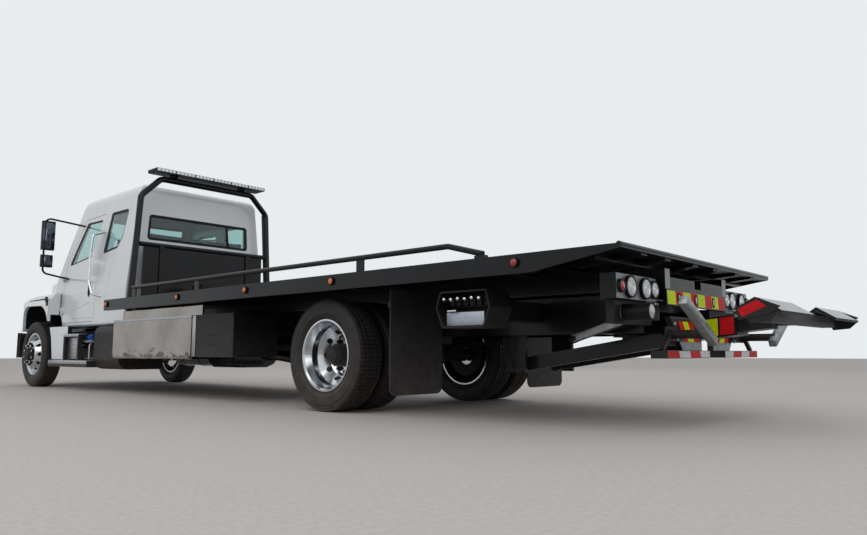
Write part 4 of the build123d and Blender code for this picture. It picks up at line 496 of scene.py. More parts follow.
# %% Dark hubs, nut covers and flange bolts
NUT_COVER = [(0, 0.3), (23, 0.4), (23.5, 3), (19.6, 5), (19.2, 24), (15, 31), (0, 34.5)]
HUBS = (
    # body, axle place (x, y), hub outline, nuts start at, flange bolts (radius, place)
    ("front_wheel_", (FRONT_AXLE_X, 1.055),
     [(0, 155), (99, 154.4), (98, 158), (91.2, 162), (89.2, 190.8), (71, 213), (62, 214.5), (40, 213.2), (0, 213.2)], 154.2, (52, 213)),
    ("rear_wheels_", (REAR_AXLE_X, 0.905),
     [(0, 34), (100.5, 32.8), (99.5, 37), (98, 60), (93.2, 150.4), (78, 178.5), (60.5, 205.6), (40, 206.5), (36, 209), (0, 210)],
     32.2, (83, 168)),
)
for body, (axle_x, axle_y), hub, nuts_from, (bolt_ring, bolt_place) in HUBS:
    for name, side in SIDES:
        middle = Vector((axle_x, side * axle_y, AXLE_Z))
        form = bmesh.new()
        add_turned(form, middle, (0, side, 0), hub, 40)
        for bolt in range(8):
            angle = math.tau * bolt / 8
            spot = middle + Vector((math.cos(angle), 0, math.sin(angle))) * bolt_ring * MM
            add_bar(form, spot + Vector((0, side * (bolt_place - 8) * MM, 0)), spot + Vector((0, side * (bolt_place + 7) * MM, 0)),
                    8.5 * MM, 6)
        piece(form, f"{body}hub_{name}", "moulded_black", body + name)
        form = bmesh.new()
        for nut in range(10):
            angle = math.radians(18 + 36 * nut)
            spot = middle + Vector((math.cos(angle) * 0.1429, side * nuts_from * MM, math.sin(angle) * 0.1429))
            add_turned(form, spot, (0, side, 0), NUT_COVER, 12)
        piece(form, f"{body}nut_covers_{name}", "gasket_rubber", body + name)

# %% [markdown]
# ## Lamps
# Marker lamps are domed acrylic lenses held in rubber grommets. The round rear lamps sit in black flanges,
# with the bright bowl showing through a clear lens. All of them are turned shapes on the CAD stubs, which
# stand for their housings. The work lamp is the same shape on its hanging housing.

# %% Marker lamps, rear lamps and work lamps
BED_LAMPS = ((1.900, "amber_lens"), (0.226, "amber_lens"), (-1.022, "amber_lens"), (-2.250, "amber_lens"), (-4.064, "red_lens"))
form = {"amber_lens": bmesh.new(), "red_lens": bmesh.new()}
collars = bmesh.new()
for place, look in BED_LAMPS:
    for _, side in SIDES:
        middle = (place, side * 1.3095, 1.060)
        add_turned(form[look], middle, (0, side, 0), [(0, 0.2), (25, 0.2), (24.5, 4), (20, 8), (11, 10.4), (0, 11.2)], 28)
        add_turned(collars, middle, (0, side, 0), [(25.2, 0.3), (25.4, 5), (29, 6.5), (33, 4), (33.4, -11.5), (32.2, -11.5), (32.2, 0.3)],
                   28, ring=True)
for look, lenses in form.items():
    piece(lenses, f"bed_{look}es", look, "deck")
piece(collars, "bed_lamp_grommets", "gasket_rubber", "deck")

REAR_FACE_X = -4.695
flanges, clear, red, bowls = bmesh.new(), bmesh.new(), bmesh.new(), bmesh.new()
for _, side in SIDES:
    for place, across, lens in ((1.074, 76, red), (0.958, 133, clear), (0.754, 133, clear), (0.634, 110, clear)):
        middle = (REAR_FACE_X, side * place, 0.890)
        rim = across / 2
        add_turned(flanges, middle, (-1, 0, 0), [(rim - 9, -0.3), (rim - 9, 5), (rim - 2, 7.5), (rim + 4, 5.5), (rim + 4, -15.8),
                                                 (rim + 0.2, -15.8), (rim + 0.2, -0.3)], 36, ring=True)
        add_turned(lens, middle, (-1, 0, 0), [(0, 0.4), (rim - 9.4, 0.4), (rim - 9.4, 4), (rim * 0.6, 7), (0, 9)], 36)
        if lens is clear:
            for row in range(3):
                ring = rim * (0.22 + 0.2 * row)
                add_turned(bowls, middle, (-1, 0, 0), [(ring - 2.2, 7.4 - row), (ring, 10.2 - row), (ring + 2.2, 7.4 - row)], 30, ring=True)
            for spoke in range(7):
                up = (spoke / 6 * 1.2 - 0.6) * rim
                reach = math.sqrt(max(rim * rim * 0.6 - up * up, 0)) * MM
                add_bar(bowls, (REAR_FACE_X - 0.0075, side * place - reach, 0.890 + up * MM),
                        (REAR_FACE_X - 0.0075, side * place + reach, 0.890 + up * MM), 1.6 * MM, 6, 0.3)
    middle = (-4.812, side * 0.940, 0.735)
    add_turned(flanges, middle, (-1, 0, 0), [(43, -0.2), (43, 6), (48, 8), (52, 5), (52, -176), (50.3, -176), (50.3, -0.2)], 36, ring=True)
    add_turned(clear, middle, (-1, 0, 0), [(0, 0.4), (42.6, 0.4), (42.6, 3), (30, 7), (0, 9)], 36)
piece(flanges, "rear_lamp_flanges", "gasket_rubber", "chassis")
piece(clear, "clear_rear_lenses", "clear_lens", "chassis")
piece(red, "red_rear_lenses", "red_lens", "chassis")
piece(bowls, "lamp_bowls", "chrome_plate", "chassis")

# %% [markdown]
# ## Warning tape
# Tape is a thin film that is cut with slanted ends and stuck on in alternating colours, on the rear bar, the
# stabiliser legs and feet, the boom's sleeve and the crossbar's ends. Every patch is a few corners in a
# plane, raised by half a millimetre.

# %% Patches of tape
tapes = {}


def add_tape(look, body, corners, thick_mm=0.6):
    """Adds one patch to the mesh of its colour and body."""
    add_sheet(tapes.setdefault((look, body), bmesh.new()), corners, thick_mm)


BAR_X, PATCH, SLANT = -4.7255, 0.126, 0.060
for row in range(8):
    left = 0.513 - row * PATCH
    top = left - SLANT
    add_tape("lime_tape" if row % 2 == 0 else "red_tape", "tilt_frame",
             [(BAR_X, left, 0.896), (BAR_X, left - PATCH, 0.896), (BAR_X, top - PATCH + 0.05, 0.806), (BAR_X, top + 0.05, 0.806)][::-1])
for _, side in SIDES:
    edges = [(0.476, 0.690, 0.392, 0.556), (0.402, 0.690, 0.318, 0.556), (0.328, 0.690, 0.222, 0.556), (0.254, 0.690, 0.128, 0.556)]
    for (y0, z0, y1, z1), (y2, z2, y3, z3), look in zip(edges, edges[1:], ("red_tape", "lime_tape", "red_tape")):
        corners = [(-4.7755, side * y0, z0), (-4.7755, side * y1, z1), (-4.7755, side * y3, z3), (-4.7755, side * y2, z2)]
        add_tape(look, "lift_arm", corners if side > 0 else corners[::-1])
    for row in range(4):
        near, far = 0.806 - row * 0.166, 0.806 - (row + 1) * 0.166
        order = ("red_tape", "white_tape")[row % 2]
        corners = [(-4.8455, side * near, 0.496), (-4.8455, side * (near - 0.014), 0.454),
                   (-4.8455, side * (far - 0.014 if row < 3 else far), 0.454), (-4.8455, side * far, 0.496)]
        add_tape(order, "lift_arm", corners if side > 0 else corners[::-1])
    for look, rear, front in (("lime_tape", -4.895, -4.800), ("red_tape", -5.003, -4.908)):
        corners = [(x, side * 0.1105, 0.5854 + (-4.185 - x) * 0.105 + up)
                   for x, up in ((front, -0.058), (rear, -0.058), (rear, 0.058), (front, 0.058))]
        add_tape(look, "lift_arm", corners if side < 0 else corners[::-1])
for (look, body), patches in tapes.items():
    piece(patches, f"{look}_on_{body}", look, body)

# %% [markdown]
# ## Window gaskets
# The panes sit in black rubber gaskets. A gasket follows its pane exactly, so each one starts from the pane's
# own outer face: that face is copied from the CAD, inset to leave a rim, and the rim is thickened outwards.

# %% Rubber around every pane
RIM_MM = {"door_glass_left": 24, "door_glass_right": 24, "cab_glass": 36}
CABIN_MIDDLE = Vector((3.1, 0.0, 1.9))


def outer_skins(panes):
    """The outward faces of each loose pane, as the faces that look the way its largest outward face does."""
    skins, rest = [], set(panes.faces)
    while rest:
        pane, edge_of = set(), [rest.pop()]
        while edge_of:
            face = edge_of.pop()
            pane.add(face)
            near = {other for edge in face.edges for other in edge.link_faces} & rest
            rest -= near
            edge_of.extend(near)
        outward = [face for face in pane if face.normal.dot(face.calc_center_median() - CABIN_MIDDLE) > 0.2]
        main = max(outward, key=lambda face: face.calc_area())
        skins.append([face for face in pane if face.normal.dot(main.normal) > 0.85])
    return skins


for node, rim_mm in RIM_MM.items():
    panes = bmesh.new()
    panes.from_mesh(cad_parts[node].data)
    bmesh.ops.remove_doubles(panes, verts=panes.verts[:], dist=0.02 * MM)
    bmesh.ops.dissolve_limit(panes, angle_limit=math.radians(1), verts=panes.verts[:], edges=panes.edges[:])
    panes.normal_update()
    form = bmesh.new()
    for skin in outer_skins(panes):
        corners = {vert: form.verts.new(vert.co) for face in skin for vert in face.verts}
        copies = [form.faces.new([corners[vert] for vert in face.verts]) for face in skin]
        form.normal_update()
        for vert in corners.values():
            vert.co += vert.normal * 0.4 * MM
        rim = bmesh.ops.inset_region(form, faces=copies, thickness=rim_mm * MM, depth=0.0, use_boundary=True,
                                     use_even_offset=True)["faces"]
        bmesh.ops.delete(form, geom=copies, context="FACES")
        form.normal_update()
        raised = bmesh.ops.extrude_face_region(form, geom=rim, use_keep_orig=True)["geom"]
        for part in raised:
            if isinstance(part, bmesh.types.BMVert):
                part.co += part.normal * 3.5 * MM
        print(node, "pane of", len(skin), "faces, rim of", len(rim))
    panes.free()
    body = "chassis" if node == "cab_glass" else node.replace("_glass", "")
    piece(form, f"{node}_gaskets", "gasket_rubber", body)

# %% [markdown]
# ## Controls at the bed
# The driver works the bed from a recess behind each rear wheel. It has a row of long levers with chromed
# balls on a valve bank, and a bare metal plate below them. A pale trim line runs around the rim: the face's
# outline is inset twice, and only the narrow loop between the two insets is kept and raised.

# %% Levers, plate and trim
CONTROL_RIM = [(-3.381, 0.912), (-3.793, 0.912), (-3.825, 0.793), (-3.770, 0.655), (-3.399, 0.655), (-3.343, 0.800)]
levers, balls, bank, plate, trim = bmesh.new(), bmesh.new(), bmesh.new(), bmesh.new(), bmesh.new()
for _, side in SIDES:
    add_block(bank, (-3.770, -3.400), sorted((side * 1.081, side * 1.135)), (0.800, 0.880), 4)
    for row in range(6):
        x = -3.420 - row * 0.062
        add_block(bank, (x - 0.022, x + 0.022), sorted((side * 1.130, side * 1.165)), (0.812, 0.868), 5)
        grip = Vector((x + 0.004, side * 1.232, 0.856 - 0.004 * (row % 2)))
        add_bar(levers, (x, side * 1.160, 0.840), grip, 5.5 * MM, 10)
        add_turned(balls, grip - Vector((0, side * 0.004, 0)), (0, side, 0.15),
                   [(14.5 * math.sin(step / 10 * math.pi), 14.5 - 14.5 * math.cos(step / 10 * math.pi)) for step in range(11)], 16)
    add_bar(levers, (-3.475, side * 1.110, 0.775), (-3.475, side * 1.225, 0.775), 6 * MM, 10)
    add_bar(balls, (-3.515, side * 1.228, 0.775), (-3.435, side * 1.228, 0.775), 8 * MM, 12, 2)
    add_block(plate, (-3.745, -3.412), sorted((side * 1.208, side * 1.212)), (0.672, 0.765), 1)
    add_block(bank, (-3.750, -3.407), sorted((side * 1.081, side * 1.2075)), (0.6685, 0.7685), 3)
    around = [trim.verts.new((x, side * 1.2504, z)) for x, z in CONTROL_RIM]
    face = trim.faces.new(around if side < 0 else around[::-1])
    face.normal_update()
    outward = face.normal.copy()
    bmesh.ops.inset_individual(trim, faces=[face], thickness=4 * MM, depth=0.0, use_even_offset=True)
    edge_strip = [other for other in trim.faces if other is not face and not other.tag]
    bmesh.ops.inset_individual(trim, faces=[face], thickness=5 * MM, depth=0.0, use_even_offset=True)
    keep = [other for other in trim.faces if other is not face and not other.tag and other not in edge_strip]
    bmesh.ops.delete(trim, geom=edge_strip + [face], context="FACES_ONLY")
    raised = bmesh.ops.extrude_face_region(trim, geom=keep, use_keep_orig=True)["geom"]
    bmesh.ops.translate(trim, verts=[part for part in raised if isinstance(part, bmesh.types.BMVert)],
                        vec=Vector((0, side * 1.0 * MM, 0)))
    for other in trim.faces:
        other.tag = True
loose = [vert for vert in trim.verts if not vert.link_faces]
bmesh.ops.delete(trim, geom=loose, context="VERTS")
piece(bank, "valve_banks", "black_powder_coat", "chassis")
piece(levers, "control_levers", "zinc_plate", "chassis")
piece(balls, "lever_balls", "chrome_plate", "chassis")
piece(plate, "blank_plates", "blank_plate", "chassis")
piece(trim, "control_trim", "white_tape", "chassis")

# %% [markdown]
# ## Light bar
# The bar's black base carries a row of clear polycarbonate modules. Each is a block with well rounded edges
# that caps the CAD form between two of its grooves, and a row of small bowls shows behind each lens.

# %% Modules of the light bar
modules, leds = bmesh.new(), bmesh.new()
EDGES = [-0.805, -0.540, -0.270, 0.0, 0.270, 0.540, 0.805]
for low, high in zip(EDGES, EDGES[1:]):
    low, high = low + 0.006, high - 0.006
    for x0, x1 in ((1.7975, 1.8015), (2.0185, 2.0225)):
        add_block(modules, (x0, x1), (low, high), (2.779, 2.8205), 1.4)
    for row in range(5):
        y = low + (row + 0.5) * (high - low) / 5
        for x, out in ((1.7975, -1), (2.0225, 1)):
            add_turned(leds, (x, y, 2.799), (out, 0, 0), [(14, -0.3), (15, 1.2), (12, 0.6), (0, -0.2)], 14)
piece(modules, "light_bar_modules", "clear_lens", "chassis")
piece(leds, "light_bar_bowls", "chrome_plate", "chassis")

# %% [markdown]
# ## Mirrors, handles, latches and caps
# The mirror glasses face the rear in their housings. The door handle is a black paddle in an oval recess,
# the hood is held by black rubber latches, and the filler cap is blue. These are small, so a few blocks,
# turned shapes and sheets do.

# %% Mirror glasses, door handles, hood latches, roof lamps and filler caps
glasses = {name: bmesh.new() for name, _ in SIDES}
handles = {name: bmesh.new() for name, _ in SIDES}
latches, roof_lamps, caps = bmesh.new(), bmesh.new(), bmesh.new()
for name, side in SIDES:
    add_block(glasses[name], (3.8465, 3.8495), sorted((side * 1.232, side * 1.378)), (1.925, 2.285), 1)
    add_block(glasses[name], (3.8465, 3.8495), sorted((side * 1.240, side * 1.365)), (1.695, 1.820), 1)
    skin = lambda z: 0.990 - max(z - 1.30, 0) * 0.1
    for row in range(7):
        low = 1.235 + row * 0.028
        half = 0.026 * math.sqrt(max(1 - ((low + 0.014 - 1.333) / 0.104) ** 2, 0.05))
        add_block(handles[name], (3.185 - half, 3.185 + half), sorted((side * (skin(low + 0.014) - 0.004), side * (skin(low + 0.014) + 0.006))),
                  (low, low + 0.0285), 2)
    add_bar(handles[name], (3.180, side * (skin(1.26) + 0.012), 1.255), (3.192, side * (skin(1.40) + 0.014), 1.405), 9 * MM, 12, 3)
    for x, z in ((4.100, 1.190), (4.230, 1.235)):
        add_block(latches, (x - 0.022, x + 0.022), sorted((side * 1.178, side * 1.196)) if z < 1.2 else sorted((side * 1.140, side * 1.165)),
                  (z - 0.045, z + 0.045), 6)
    add_turned(caps, (2.905, side * 1.040, 0.664), (0, side * 0.35, 0.93),
               [(0, 0), (46, 0), (46, 24), (50, 26), (50, 44), (44, 50), (20, 52), (18, 58), (0, 58)], 24)
for place in (-0.62, -0.31, 0.0, 0.31, 0.62):
    hit, spot, normal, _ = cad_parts["cab_shell"].ray_cast(Vector((3.560, place, 3.2)), Vector((0, 0, -1)))
    add_turned(roof_lamps, spot, normal, [(0, -3), (52, -3), (50, 12), (34, 26), (0, 30)], 24)
piece(roof_lamps, "roof_marker_lamps", "amber_lens", "chassis")
for name, _ in SIDES:
    piece(glasses[name], f"mirror_glass_{name}", "mirror_silver", f"door_{name}")
    piece(handles[name], f"door_handle_{name}", "moulded_black", f"door_{name}")
piece(latches, "hood_latches", "gasket_rubber", "hood")
piece(caps, "filler_caps", "cap_blue", "chassis")

# %% [markdown]
# ## Steps, strips and bolts
# The steps under the doors are ribbed so that a boot grips. The side boxes, the headboard and the rear
# brackets are held by plain hexagon bolts, and a bright strip covers the joint between the toolbox and the
# black box. Rows of bars and rows of bolts come from loops over a few numbers.

# %% Step treads, cover strips and bolts
treads, strips, bolts, grey_bolts = bmesh.new(), bmesh.new(), bmesh.new(), bmesh.new()
for _, side in SIDES:
    for low, high, top in ((2.640, 3.880, 0.3805), (2.930, 3.395, 0.7245)):
        add_block(treads, (low, high), sorted((side * 1.082, side * 1.1985)), (top - 0.001, top + 0.002), 0.5)
        for row in range(7):
            y = 1.090 + row * 0.0168
            add_block(treads, (low + 0.01, high - 0.01), sorted((side * y, side * (y + 0.007))), (top + 0.0015, top + 0.006), 1)
    add_block(treads, (2.9545, 3.3655), sorted((side * 1.1495, side * 1.1535)), (0.402, 0.688), 1)
    for row in range(5):
        z = 0.445 + row * 0.050
        add_block(treads, (2.985, 3.335), sorted((side * 1.1530, side * 1.1570)), (z - 0.006, z + 0.006), 1.5)
    add_block(treads, (2.630, 3.890), sorted((side * 1.1995, side * 1.2015)), (0.338, 0.3815), 0.8)
    add_block(treads, (2.920, 3.405), sorted((side * 1.1995, side * 1.2015)), (0.694, 0.7255), 0.8)
    add_block(strips, (0.020, 0.090), sorted((side * 1.1905, side * 1.1945)), (0.446, 0.862), 1)
    add_block(strips, (0.096, 1.904), sorted((side * 1.2005, side * 1.2030)), (0.842, 0.866), 0.8)
    for x, z in [(-0.645 + 0.630 * column, 0.470 + 0.125 * row) for column in range(2) for row in range(4)] + [
            (-0.33 + 0.08 * column, 0.56 + 0.10 * row) for column in range(2) for row in range(2)]:
        add_turned(bolts, (x, side * 1.190, z), (0, side, 0), [(0, 0), (8.5, 0), (8, 2.5), (4.5, 5), (0, 5.6)], 10)
    for z in (1.10, 1.40, 1.70):
        for y in (0.700, 0.840):
            add_turned(bolts, (1.918, side * y, z), (-1, 0, 0), [(0, 0), (10, 0), (9, 4), (5, 6.5), (0, 7)], 10)
    for y, z in ((0.921, 2.300), (0.952, 1.850), (0.987, 1.400), (1.005, 1.120)):
        add_turned(grey_bolts, (1.976, side * y, z), (1, 0, 0), [(0, -6), (6, -6), (6, 0.2), (11, 0.2), (10.5, 4), (6, 7), (0, 7.4)], 10)
    for row in range(5):
        add_turned(grey_bolts, (-4.692, side * (0.600 + 0.035 * row), 0.798), (-1, 0, 0), [(0, 0), (9, 0), (8.5, 5), (5, 8), (0, 8)], 8)
    for y, z in ((0.350, 0.660), (0.322, 0.560)):
        add_turned(grey_bolts, (-4.7765, side * (y + 0.19), z + 0.01), (-1, 0, 0), [(0, 0), (15, 0), (14, 8), (9, 12), (0, 12)], 12)
piece(treads, "step_treads", "brushed_aluminium", "chassis")
piece(strips, "box_cover_strips", "brushed_aluminium", "chassis")
piece(bolts, "black_bolts", "black_enamel", "chassis")
piece(grey_bolts, "plated_bolts", "zinc_plate", "chassis")

# %% [markdown]
# ## Panels on the rear and on the sides
# Some solids carry two finishes. The fairing behind the front wheel is painted with the cab, the lamp boxes
# have a pale coated face, and the pans of the wheel lift are bare plate inside black end flanges. A thin
# sheet or a close sleeve in the second finish lies over the solid there.

# %% Second finishes as thin covers
def add_beam(form, start, end, width, height):
    """A square-cut beam between two points, with rounded edges."""
    run = Vector(end) - Vector(start)
    turn = Matrix.Translation((Vector(start) + Vector(end)) / 2) @ run.to_track_quat("Z", "X").to_matrix().to_4x4()
    made = bmesh.ops.create_cube(form, size=1.0, matrix=turn @ Matrix.Diagonal((width, height, run.length, 1.0)))["verts"]
    edges = list({edge for corner in made for edge in corner.link_edges})
    bmesh.ops.bevel(form, geom=edges, offset=1.5 * MM, offset_type="OFFSET", segments=2, profile=0.5, affect="EDGES", material=-1)


fairings, faces, posts, pans, flanges, arms, holders, reflectors = (bmesh.new() for _ in range(8))
FAIRING = [(3.407, 0.396), (3.902, 0.396), (3.968, 0.690), (4.040, 0.838), (3.407, 0.838)]
for _, side in SIDES:
    corners = [(x, side * 1.1505, z) for x, z in FAIRING]
    add_sheet(fairings, corners[::-1] if side > 0 else corners, 2.0)
    add_sheet(faces, [(-4.6795, side * y, z) for y, z in ((0.577, 0.815), (1.122, 0.815), (1.122, 0.965), (0.577, 0.965))][::-side], 1.0)
    add_sheet(posts, [(-4.7255, side * y, z) for y, z in ((0.464, 0.908), (0.536, 0.908), (0.536, 1.036), (0.464, 1.036))][::-side], 1.0)
    for (x0, z0), (x1, z1), lift in (((-5.535, 0.7155), (-5.415, 0.7905), 1), ((-5.415, 0.7905), (-5.332, 0.7315), 1),
                                     ((-5.524, 0.7000), (-5.415, 0.7640), -1), ((-5.415, 0.7640), (-5.347, 0.7145), -1)):
        corners = [(x0, side * 0.264, z0), (x1, side * 0.264, z1), (x1, side * 0.890, z1), (x0, side * 0.890, z0)]
        add_sheet(pans, corners[::-1] if side * lift < 0 else corners, 1.0)
    corners = [(x, side * 0.9053, z) for x, z in ((-5.292, 0.735), (-5.402, 0.794), (-5.533, 0.738), (-5.484, 0.700), (-5.312, 0.670))]
    add_sheet(flanges, corners if side > 0 else corners[::-1], 5.0)
    corners = [(x, side * 0.9105, z) for x, z in ((-5.306, 0.727), (-5.412, 0.778), (-5.462, 0.740), (-5.330, 0.684))]
    add_sheet(reflectors, corners if side > 0 else corners[::-1], 1.5)
    add_beam(arms, (-5.035, side * 0.5645, 0.5517), (-5.035, side * 1.0005, 0.7903), 0.0515, 0.0515)
    add_beam(arms, (-4.060, side * 0.5862, 0.583), (-4.592, side * 0.5862, 0.744), 0.050, 0.050)
    add_bar(holders, (-4.035, side * 0.5862, 0.5755), (-4.085, side * 0.5862, 0.5906), 0.031, 16, 2)
piece(fairings, "painted_fairings", "white_enamel", "chassis")
piece(faces, "lamp_box_faces", "grey_enamel", "chassis")
piece(posts, "rear_post_faces", "grey_enamel", "tilt_frame")
piece(pans, "bare_pan_plates", "brushed_aluminium", "crossbar")
piece(flanges, "pan_end_flanges", "moulded_black", "crossbar")
piece(reflectors, "pan_reflectors", "red_tape", "crossbar")
for split, name, body in ((True, "stowed_arm_bars", "lift_arm"), (False, "tie_down_bars", "chassis")):
    form = arms.copy()
    far = [vert for vert in form.verts if (vert.co.x > -4.8) == split]
    bmesh.ops.delete(form, geom=far, context="VERTS")
    piece(form, name, "zinc_plate", body)
arms.free()
piece(holders, "tie_down_bar_ends", "gasket_rubber", "chassis")

# %% [markdown]
# ## Oval lamps and the window divider
# Three oval clear lamps sit among the tape on the rear bar. An oval is a turned lens that is stretched
# upwards. The rear window is split by a black bar where its sliding pane ends.

# %% Oval lamps and divider
ovals, rims, divider = bmesh.new(), bmesh.new(), bmesh.new()
for place in (0.330, 0.045, -0.275):
    for form, outline in ((rims, [(16, 0.2), (22, 0.2), (22, 4), (19, 6), (16, 4)]), (ovals, [(0, 0.3), (16, 0.3), (14, 4), (8, 6.5), (0, 7)])):
        made = add_turned(form, (-4.7262, place, 0.850), (-1, 0, 0), outline, 28, ring=form is rims)
        fresh = [vert for vert in form.verts if (vert.co - Vector((-4.7262, place, 0.850))).length < 0.05]
        bmesh.ops.scale(form, verts=fresh, vec=(1.0, 1.0, 1.75), space=Matrix.Translation((0, 0, -0.850)))
piece(rims, "oval_lamp_rims", "gasket_rubber", "tilt_frame")
piece(ovals, "oval_lamps", "clear_lens", "tilt_frame")
rear_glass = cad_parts["cab_glass"]
ends = [rear_glass.ray_cast(Vector((1.5, y, z)), Vector((1, 0, 0)))[1] for y, z in ((-0.405, 2.245), (-0.440, 1.955))]
add_beam(divider, ends[0] - Vector((0.001, 0, 0)), ends[1] - Vector((0.001, 0, 0)), 0.020, 0.026)
piece(divider, "rear_window_divider", "gasket_rubber", "chassis")
print("divider from", [round(c, 3) for c in ends[0]], "to", [round(c, 3) for c in ends[1]])

# %% [markdown]
# ## Brake drums, arch liners and silver leg plates
# A cast drum closes the inner side of each wheel, so no light passes behind the bright disc. A black plastic
# liner shields the inside of the fender. Its line is found by rays from the wheel's axle to the fender's
# inner face. The plates above the stabiliser feet are galvanised. Thin black discs on the rear wheels are
# painted shade where the wheels' hand holes show dark.

# %% Drums, liners and leg plates
for body, axle_x, axle_y, outline in (
        ("front_wheel_", FRONT_AXLE_X, 1.055, [(128, 52), (190, 56), (204, 50), (206, 44), (202, 38), (202, -70), (128, -70)]),
        ("rear_wheels_", REAR_AXLE_X, 0.905, [(100, 246), (190, 250), (210, 246), (213, 236), (209, 200), (209, 60), (100, 60)])):
    for name, side in SIDES:
        form = bmesh.new()
        add_turned(form, (axle_x, side * axle_y, AXLE_Z), (0, -side, 0), outline, 48, ring=True)
        piece(form, f"{body}drum_{name}", "axle_paint", body + name)

liners, leg_plates = {"hood": bmesh.new(), "chassis": bmesh.new()}, bmesh.new()
for _, side in SIDES:
    for node, body, far in (("hood_shell", "hood", 1.125), ("cab_shell", "chassis", 0.985)):
        start, line = Vector((FRONT_AXLE_X, side * 0.80, AXLE_Z)), []
        for step in range(41):
            angle = math.radians(14 + 152 * step / 40)
            aim = Vector((math.cos(angle), 0.0, math.sin(angle)))
            hit, spot, _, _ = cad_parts[node].ray_cast(start, aim)
            if hit and 0.5 < (spot - start).length < 0.90:
                line.append(spot - aim * 3 * MM)
        for one, two in zip(line, line[1:]):
            corners = [(one.x, side * 0.585, one.z), (two.x, side * 0.585, two.z), (two.x, side * far, two.z), (one.x, side * far, one.z)]
            add_sheet(liners[body], corners if side > 0 else corners[::-1], 2.0)
        wall = [(spot.x, side * 0.5735, spot.z) for spot in line if spot.z > 0.85]
        wall += [(wall[-1][0], side * 0.5735, 0.845), (wall[0][0], side * 0.5735, 0.845)]
        add_sheet(liners[body], wall if side < 0 else wall[::-1], 2.0)
    corners = [(-4.7755, side * y, z) for y, z in ((0.110, 0.502), (0.418, 0.502), (0.462, 0.555), (0.110, 0.555))]
    add_sheet(leg_plates, corners[::-1] if side > 0 else corners, 1.0)
# Painted shade: thin black discs stand for the dark seen through each rear wheel's hand holes, which are not cut
# through the disc.
for name, side in SIDES:
    form = bmesh.new()
    for hole in range(10):
        angle = math.radians(36 * hole)
        out = Vector((math.cos(angle), 0, math.sin(angle)))
        spot = Vector((REAR_AXLE_X, side * 0.985, AXLE_Z)) + out * 0.207
        add_turned(form, spot, Vector((0, side * 0.583, 0)) - out * 0.813, [(0, -2), (26, -2), (26, 1.2), (24, 2.0), (0, 2.0)], 24)
    piece(form, f"painted_hand_hole_shade_{name}", "gasket_rubber", f"rear_wheels_{name}")
for body, form in liners.items():
    piece(form, f"arch_liners_{body}", "moulded_black", body)
piece(leg_plates, "bare_leg_plates", "zinc_plate", "lift_arm")

# %% [markdown]
# ## Front end
# The photograph hides the front, so it gets what such trucks have: a bright frame around the grille with a
# woven wire screen behind its bars, and headlamps with two bowls each behind the clear lens.

# %% Grille frame, wire screen and headlamp bowls
grille_low, grille_high = (Vector(corner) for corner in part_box("grille"))
surround, screen, bowls = bmesh.new(), bmesh.new(), bmesh.new()
front = grille_high.x
for z in (grille_low.z + 0.008, grille_high.z - 0.008):
    add_beam(surround, (front - 0.006, grille_low.y + 0.004, z), (front - 0.006, grille_high.y - 0.004, z), 0.022, 0.016)
for y in (grille_low.y + 0.009, grille_high.y - 0.009):
    add_beam(surround, (front - 0.006, y, grille_low.z + 0.004), (front - 0.006, y, grille_high.z - 0.004), 0.022, 0.016)
for step in range(1, 34):
    y = grille_low.y + (grille_high.y - grille_low.y) * step / 34
    add_bar(screen, (front - 0.0385, y, grille_low.z + 0.004), (front - 0.0385, y, grille_high.z - 0.004), 1.6 * MM, 6, 0.3)
piece(surround, "grille_surround", "chrome_plate", "hood")
piece(screen, "grille_screen", "moulded_black", "hood")
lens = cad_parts["headlamps"]
for _, side in SIDES:
    for y, across in ((0.735, 150), (0.900, 120)):
        hit, spot, normal, _ = lens.ray_cast(Vector((6.5, side * y, 1.005)), Vector((-1, 0, 0)))
        if hit:
            rim = across / 2
            add_turned(bowls, spot, normal, [(rim - 6, -6), (rim - 6, 1.5), (rim - 3, 3), (rim, 1.5), (rim, -6)], 36, ring=True)
            add_turned(bowls, spot, normal, [(0, -3), (rim * 0.42, -3), (rim * 0.42, 1.4), (rim * 0.2, 3.5), (0, 4)], 28)
piece(bowls, "headlamp_bowls", "chrome_plate", "hood")

# %% [markdown]
# ## Seats
# A truck seat is foam under woven cloth. The CAD block is remeshed into even faces, taken in a little and
# blown up as cloth under pressure with gravity off, so its faces crown and its edges round. How far a point
# may move is capped, which keeps the backrests thin. Piping, which a remesh would erase, is added later.

# %% Padded seats
padding = bmesh.new()
padding.from_mesh(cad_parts["seats"].data)
bmesh.ops.remove_doubles(padding, verts=padding.verts[:], dist=0.05 * MM)
foam_data = bpy.data.meshes.new("foam")
padding.to_mesh(foam_data)
padding.free()
foam = bpy.data.objects.new("foam", foam_data)
bpy.context.scene.collection.objects.link(foam)
grid = foam.modifiers.new("even_faces", "REMESH")
grid.mode = "VOXEL"
grid.voxel_size = 0.012
take_in = foam.modifiers.new("take_in", "DISPLACE")
take_in.strength = -0.008
take_in.mid_level = 0.0
start_data = bpy.data.meshes.new_from_object(foam.evaluated_get(bpy.context.evaluated_depsgraph_get()))
seat_cover = bpy.data.objects.new("padded_seats", start_data)
bpy.context.scene.collection.objects.link(seat_cover)
bpy.data.objects.remove(foam)
before = [vert.co.copy() for vert in start_data.vertices]
cloth = seat_cover.modifiers.new("cover", "CLOTH")
cloth.settings.use_pressure = True
cloth.settings.uniform_pressure_force = 4.0
cloth.settings.effector_weights.gravity = 0.0
cloth.point_cache.frame_start = 1
cloth.point_cache.frame_end = 20
for step in range(1, 21):
    bpy.context.scene.frame_set(step)
puffed = bpy.data.meshes.new_from_object(seat_cover.evaluated_get(bpy.context.evaluated_depsgraph_get()))
moved = 0.0
for vert, old in zip(puffed.vertices, before):
    shift = vert.co - old
    if shift.length > 0.022:
        vert.co = old + shift.normalized() * 0.022
    moved = max(moved, (vert.co - old).length)
seat_cover.modifiers.clear()
seat_cover.data = puffed
bpy.context.scene.frame_set(1)
print("seat cover moved up to", round(moved * 1000, 1), "mm")
seat_cover.data.materials.clear()
seat_cover.data.materials.append(finish["seat_cloth"])
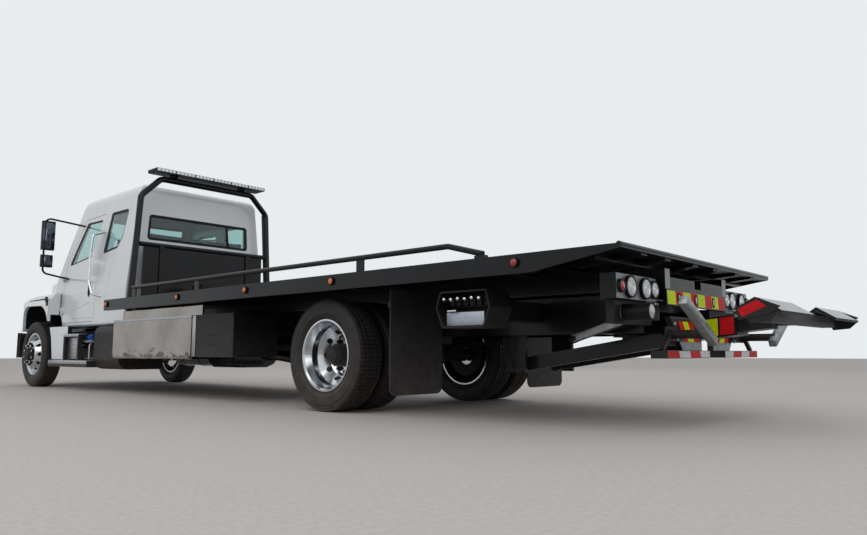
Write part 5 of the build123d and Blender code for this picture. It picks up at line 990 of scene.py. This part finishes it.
seat_cover.data.shade_smooth()
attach(seat_cover, "chassis")
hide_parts("seats")
print("padded_seats", len(seat_cover.data.polygons), "faces")

# %% [markdown]
# ## Piping and panel lines
# The seat covers are sewn with a round piping, which follows the padded surface: rays find that surface, and
# a thin cord of short bars lies on it. The doors are pressed with a shallow crease, laid on the same way.

# %% Seat piping and door creases
def add_line(form, target, starts, aim, radius):
    """Lays a cord of short bars on an object, at the points that rays from the starts find."""
    found = [target.ray_cast(Vector(start), Vector(aim))[:2] for start in starts]
    spots = [spot for hit, spot in found if hit]
    for one, two in zip(spots, spots[1:]):
        if (two - one).length < 0.12:
            add_bar(form, one, two, radius, 8, 0.5)


bpy.context.view_layer.update()
seat_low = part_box("seats")[0][2]
piping = bmesh.new()
for x, y, half, lines in ((3.205, 0.47, 0.25, (-0.215, -0.10, 0.10, 0.215)), (3.205, -0.47, 0.25, (-0.215, -0.10, 0.10, 0.215)),
                          (2.425, 0.0, 0.72, (-0.685, -0.24, 0.24, 0.685))):
    for line in lines:
        add_line(piping, seat_cover, [(x - 0.07 + 0.03 * step, y + line, seat_low + 0.62) for step in range(10)], (0, 0, -1), 4.5 * MM)
        add_line(piping, seat_cover, [(x + 0.2, y + line, seat_low + 0.46 + 0.04 * step) for step in range(15)], (-1, 0, 0), 4.5 * MM)
    for height in (0.62, 0.90):
        add_line(piping, seat_cover, [(x + 0.2, y + lines[0] + (lines[-1] - lines[0]) * step / 24, seat_low + height)
                                      for step in range(25)], (-1, 0, 0), 4.5 * MM)
piece(piping, "seat_piping", "cabin_plastic", "chassis")
for name, side in SIDES:
    crease = bmesh.new()
    for (x0, z0), (x1, z1) in (((3.722, 1.066), (3.150, 1.163)), ((3.722, 0.955), (3.060, 0.955))):
        add_line(crease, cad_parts[f"door_{name}"],
                 [(x0 + (x1 - x0) * step / 12, side * 1.4, z0 + (z1 - z0) * step / 12) for step in range(13)],
                 (0, -side, 0), 4 * MM)
    piece(crease, f"door_crease_{name}", "white_enamel", f"door_{name}")
